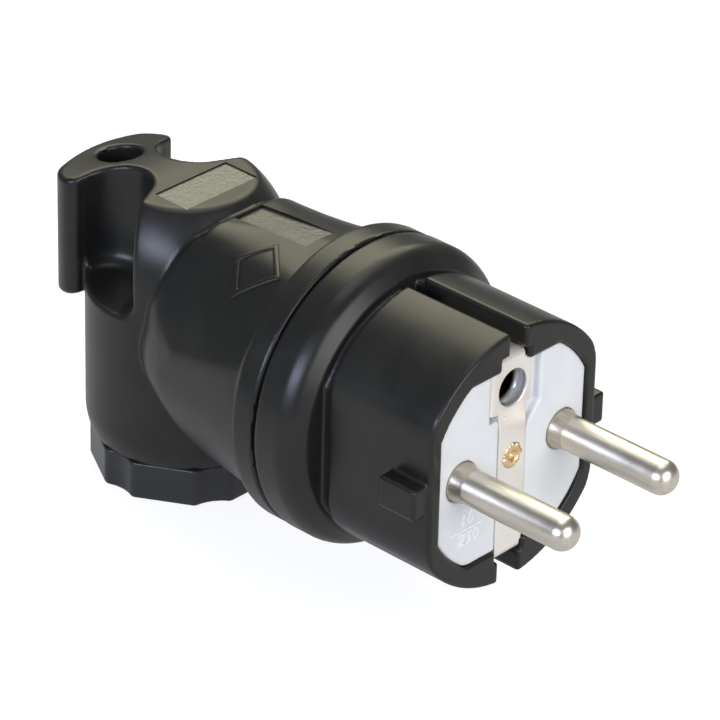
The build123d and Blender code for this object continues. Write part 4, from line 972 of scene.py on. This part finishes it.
# Collar gasket and gland parts. A soft black gasket between the collar halves; below, a slit clamp
# ring, a rubber seal and a slip washer that the nut presses on the cord.
gasket_rubber = skinned_material(
    "gasket_rubber", dark=(0.012, 0.012, 0.012), light=(0.02, 0.02, 0.019), grain=1500.0
)
gland_plastic = skinned_material(
    "gland_plastic", dark=(0.16, 0.16, 0.155), light=(0.22, 0.22, 0.21), grain=1500.0
)
finish_node("collar_gasket", gasket_rubber)
finish_node("gland_seal", gasket_rubber)
finish_node("clamp_ring", gland_plastic)
finish_node("slip_washer", gland_plastic)


# Gland nut. Black moulded plastic cap over the threaded end of the stub: six faces with a hollow
# for the fingers at each corner and a round cord entry below.
NUT_APOTHEM, NUT_BOTTOM, NUT_TOP = 12.8, -25.2, -19.56
NUT_BOTTOM_EDGE, NUT_TOP_EDGE = 0.6, 0.15
NOTCH_RADIUS, NOTCH_REACH, NOTCH_EDGE = 5.4, 18.15, 0.5
NUT_BORE, NUT_BORE_END = 11.1, -23.6
NUT_ENTRY, NUT_ENTRY_EDGE = 6.6, 0.4
NUT_SPACE, NUT_STEP = ((-73.6, -15.2, -25.8), (-43.2, 15.2, -19.1)), 0.28


def nut_field(x, y, z):
    """Hexagonal cap with hollowed corners, a thread bore and a cord entry."""
    across = x - GLAND_X
    faces = np.abs(across)
    for turn in (math.pi / 3, 2 * math.pi / 3):
        faces = np.maximum(faces, np.abs(across * math.cos(turn) + y * math.sin(turn)))
    angle = np.arctan2(y, across) % (math.pi / 3) - math.pi / 6
    reach = np.hypot(across, y)
    notch = np.hypot(reach * np.cos(angle) - NOTCH_REACH, reach * np.sin(angle)) - NOTCH_RADIUS
    body = round_cut(faces - NUT_APOTHEM, notch, NOTCH_EDGE)
    body = round_meet(body, NUT_BOTTOM - z, NUT_BOTTOM_EDGE)
    body = round_meet(body, z - NUT_TOP, NUT_TOP_EDGE)
    body = np.maximum(body, -np.maximum(reach - NUT_BORE, NUT_BORE_END - z))
    return round_cut(body, reach - NUT_ENTRY, NUT_ENTRY_EDGE)


gland_nut = mould("gland_nut_cap", nut_field, *NUT_SPACE, NUT_STEP)
nut_plastic = skinned_material(
    "nut_plastic", dark=(0.016, 0.016, 0.017), light=(0.027, 0.027, 0.027),
    grain=3200.0, specular=0.5, bump=0.12,
)
gland_nut.data.materials.append(nut_plastic)
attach(gland_nut, "root")
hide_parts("gland_nut")


# Floor. A white paper sheet just under the nut. It glows to the camera and in reflections, so that
# it stays white and keeps only a soft shadow.
FLOOR_GAP = 0.02
FLOOR_HALF, FLOOR_Z = 0.3, (NUT_BOTTOM - FLOOR_GAP) * MM
floor_mesh = bpy.data.meshes.new("floor")
floor_corners = [(i * FLOOR_HALF, j * FLOOR_HALF, FLOOR_Z) for i, j in ((-1, -1), (1, -1), (1, 1), (-1, 1))]
floor_mesh.from_pydata(floor_corners, [], [(0, 1, 2, 3)])
floor = add_piece("floor", floor_mesh)
paper = bpy.data.materials.new("white_paper")
paper.use_nodes = True
tree = paper.node_tree
tree.nodes.clear()
path = add_node(tree, "ShaderNodeLightPath")
matt = add_node(tree, "ShaderNodeBsdfDiffuse", {}, {"Color": (0.6, 0.6, 0.6, 1)})
shaded = add_node(tree, "ShaderNodeBsdfDiffuse", {}, {"Color": (0.3, 0.3, 0.3, 1)})
sheet = matt.outputs[0]
for ray, strength in (("Is Glossy Ray", 0.38), ("Is Camera Ray", 0.85)):
    glow = add_node(tree, "ShaderNodeEmission", {}, {"Color": (1, 1, 1, 1), "Strength": strength})
    lit = add_node(tree, "ShaderNodeAddShader", {}, {0: shaded.outputs[0], 1: glow.outputs[0]})
    mix = add_node(tree, "ShaderNodeMixShader", {}, {0: path.outputs[ray], 1: sheet, 2: lit.outputs[0]})
    sheet = mix.outputs[0]
add_node(tree, "ShaderNodeOutputMaterial", {}, {"Surface": sheet})
floor_mesh.materials.append(paper)
floor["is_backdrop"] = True


# Light. A wide warm softbox behind, a small one overhead, a large one in front, a cool window to
# the left, and a plain pale room.
scene = bpy.context.scene
scene.view_settings.view_transform = "Standard"
world = bpy.data.worlds.new("pale_room")
scene.world = world
world.use_nodes = True
tree = world.node_tree
tree.nodes.clear()
seen = add_node(tree, "ShaderNodeLightPath").outputs["Is Camera Ray"]
room = add_node(tree, "ShaderNodeBackground", {}, {"Color": (0.92, 0.96, 1, 1), "Strength": 0.22})
white = add_node(tree, "ShaderNodeBackground", {}, {"Color": (1, 1, 1, 1), "Strength": 1.0})
air = add_node(tree, "ShaderNodeMixShader", {}, {0: seen, 1: room.outputs[0], 2: white.outputs[0]})
add_node(tree, "ShaderNodeOutputWorld", {}, {"Surface": air.outputs[0]})

for name, place, turn, size, energy, colour in (
    ("back_softbox", (-0.74, 0.85, 1.03), (-47, 0, 41.4), (1.3, 0.9), 12.5, (1.0, 0.95, 0.68)),
    ("overhead_softbox", (-0.2, 0.2, 1.3), (0, 0, 0), (0.9, 0.9), 4.0, (1.0, 0.98, 0.94)),
    ("front_softbox", (1.2, -0.1, 0.45), (70, 0, 85), (0.9, 0.9), 10.6, (0.98, 0.98, 1.0)),
    ("left_window", (0.1, -1.1, 0.47), (67, 0, 5.0), (0.9, 0.34), 10.5, (0.7, 0.78, 1.0)),
):
    lamp = bpy.data.lights.new(name, "AREA")
    lamp.shape = "RECTANGLE"
    lamp.size, lamp.size_y = size
    lamp.energy = energy
    lamp.color = colour
    holder = bpy.data.objects.new(name, lamp)
    holder.location = place
    holder.rotation_euler = [math.radians(angle) for angle in turn]
    scene.collection.objects.link(holder)


# Camera. A long lens at the photograph's viewing angle: in front of the plug, above it and to its
# near side.
CAMERA_PLACE, CAMERA_TURN = (0.3348843, -0.3912915, 0.3078078), (60.2169, -1.24947, 43.4589)
CAMERA_LENS = 235.4257
lens = bpy.data.cameras.new("photo_camera")
lens.lens = CAMERA_LENS
lens.sensor_width = 36
lens.clip_start, lens.clip_end = 0.05, 20
camera = bpy.data.objects.new("photo_camera", lens)
camera.location = CAMERA_PLACE
camera.rotation_euler = [math.radians(angle) for angle in CAMERA_TURN]
scene.collection.objects.link(camera)
scene.camera = camera

# Size. The box of the pieces shown, in metres.
bpy.context.view_layer.update()
low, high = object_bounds()
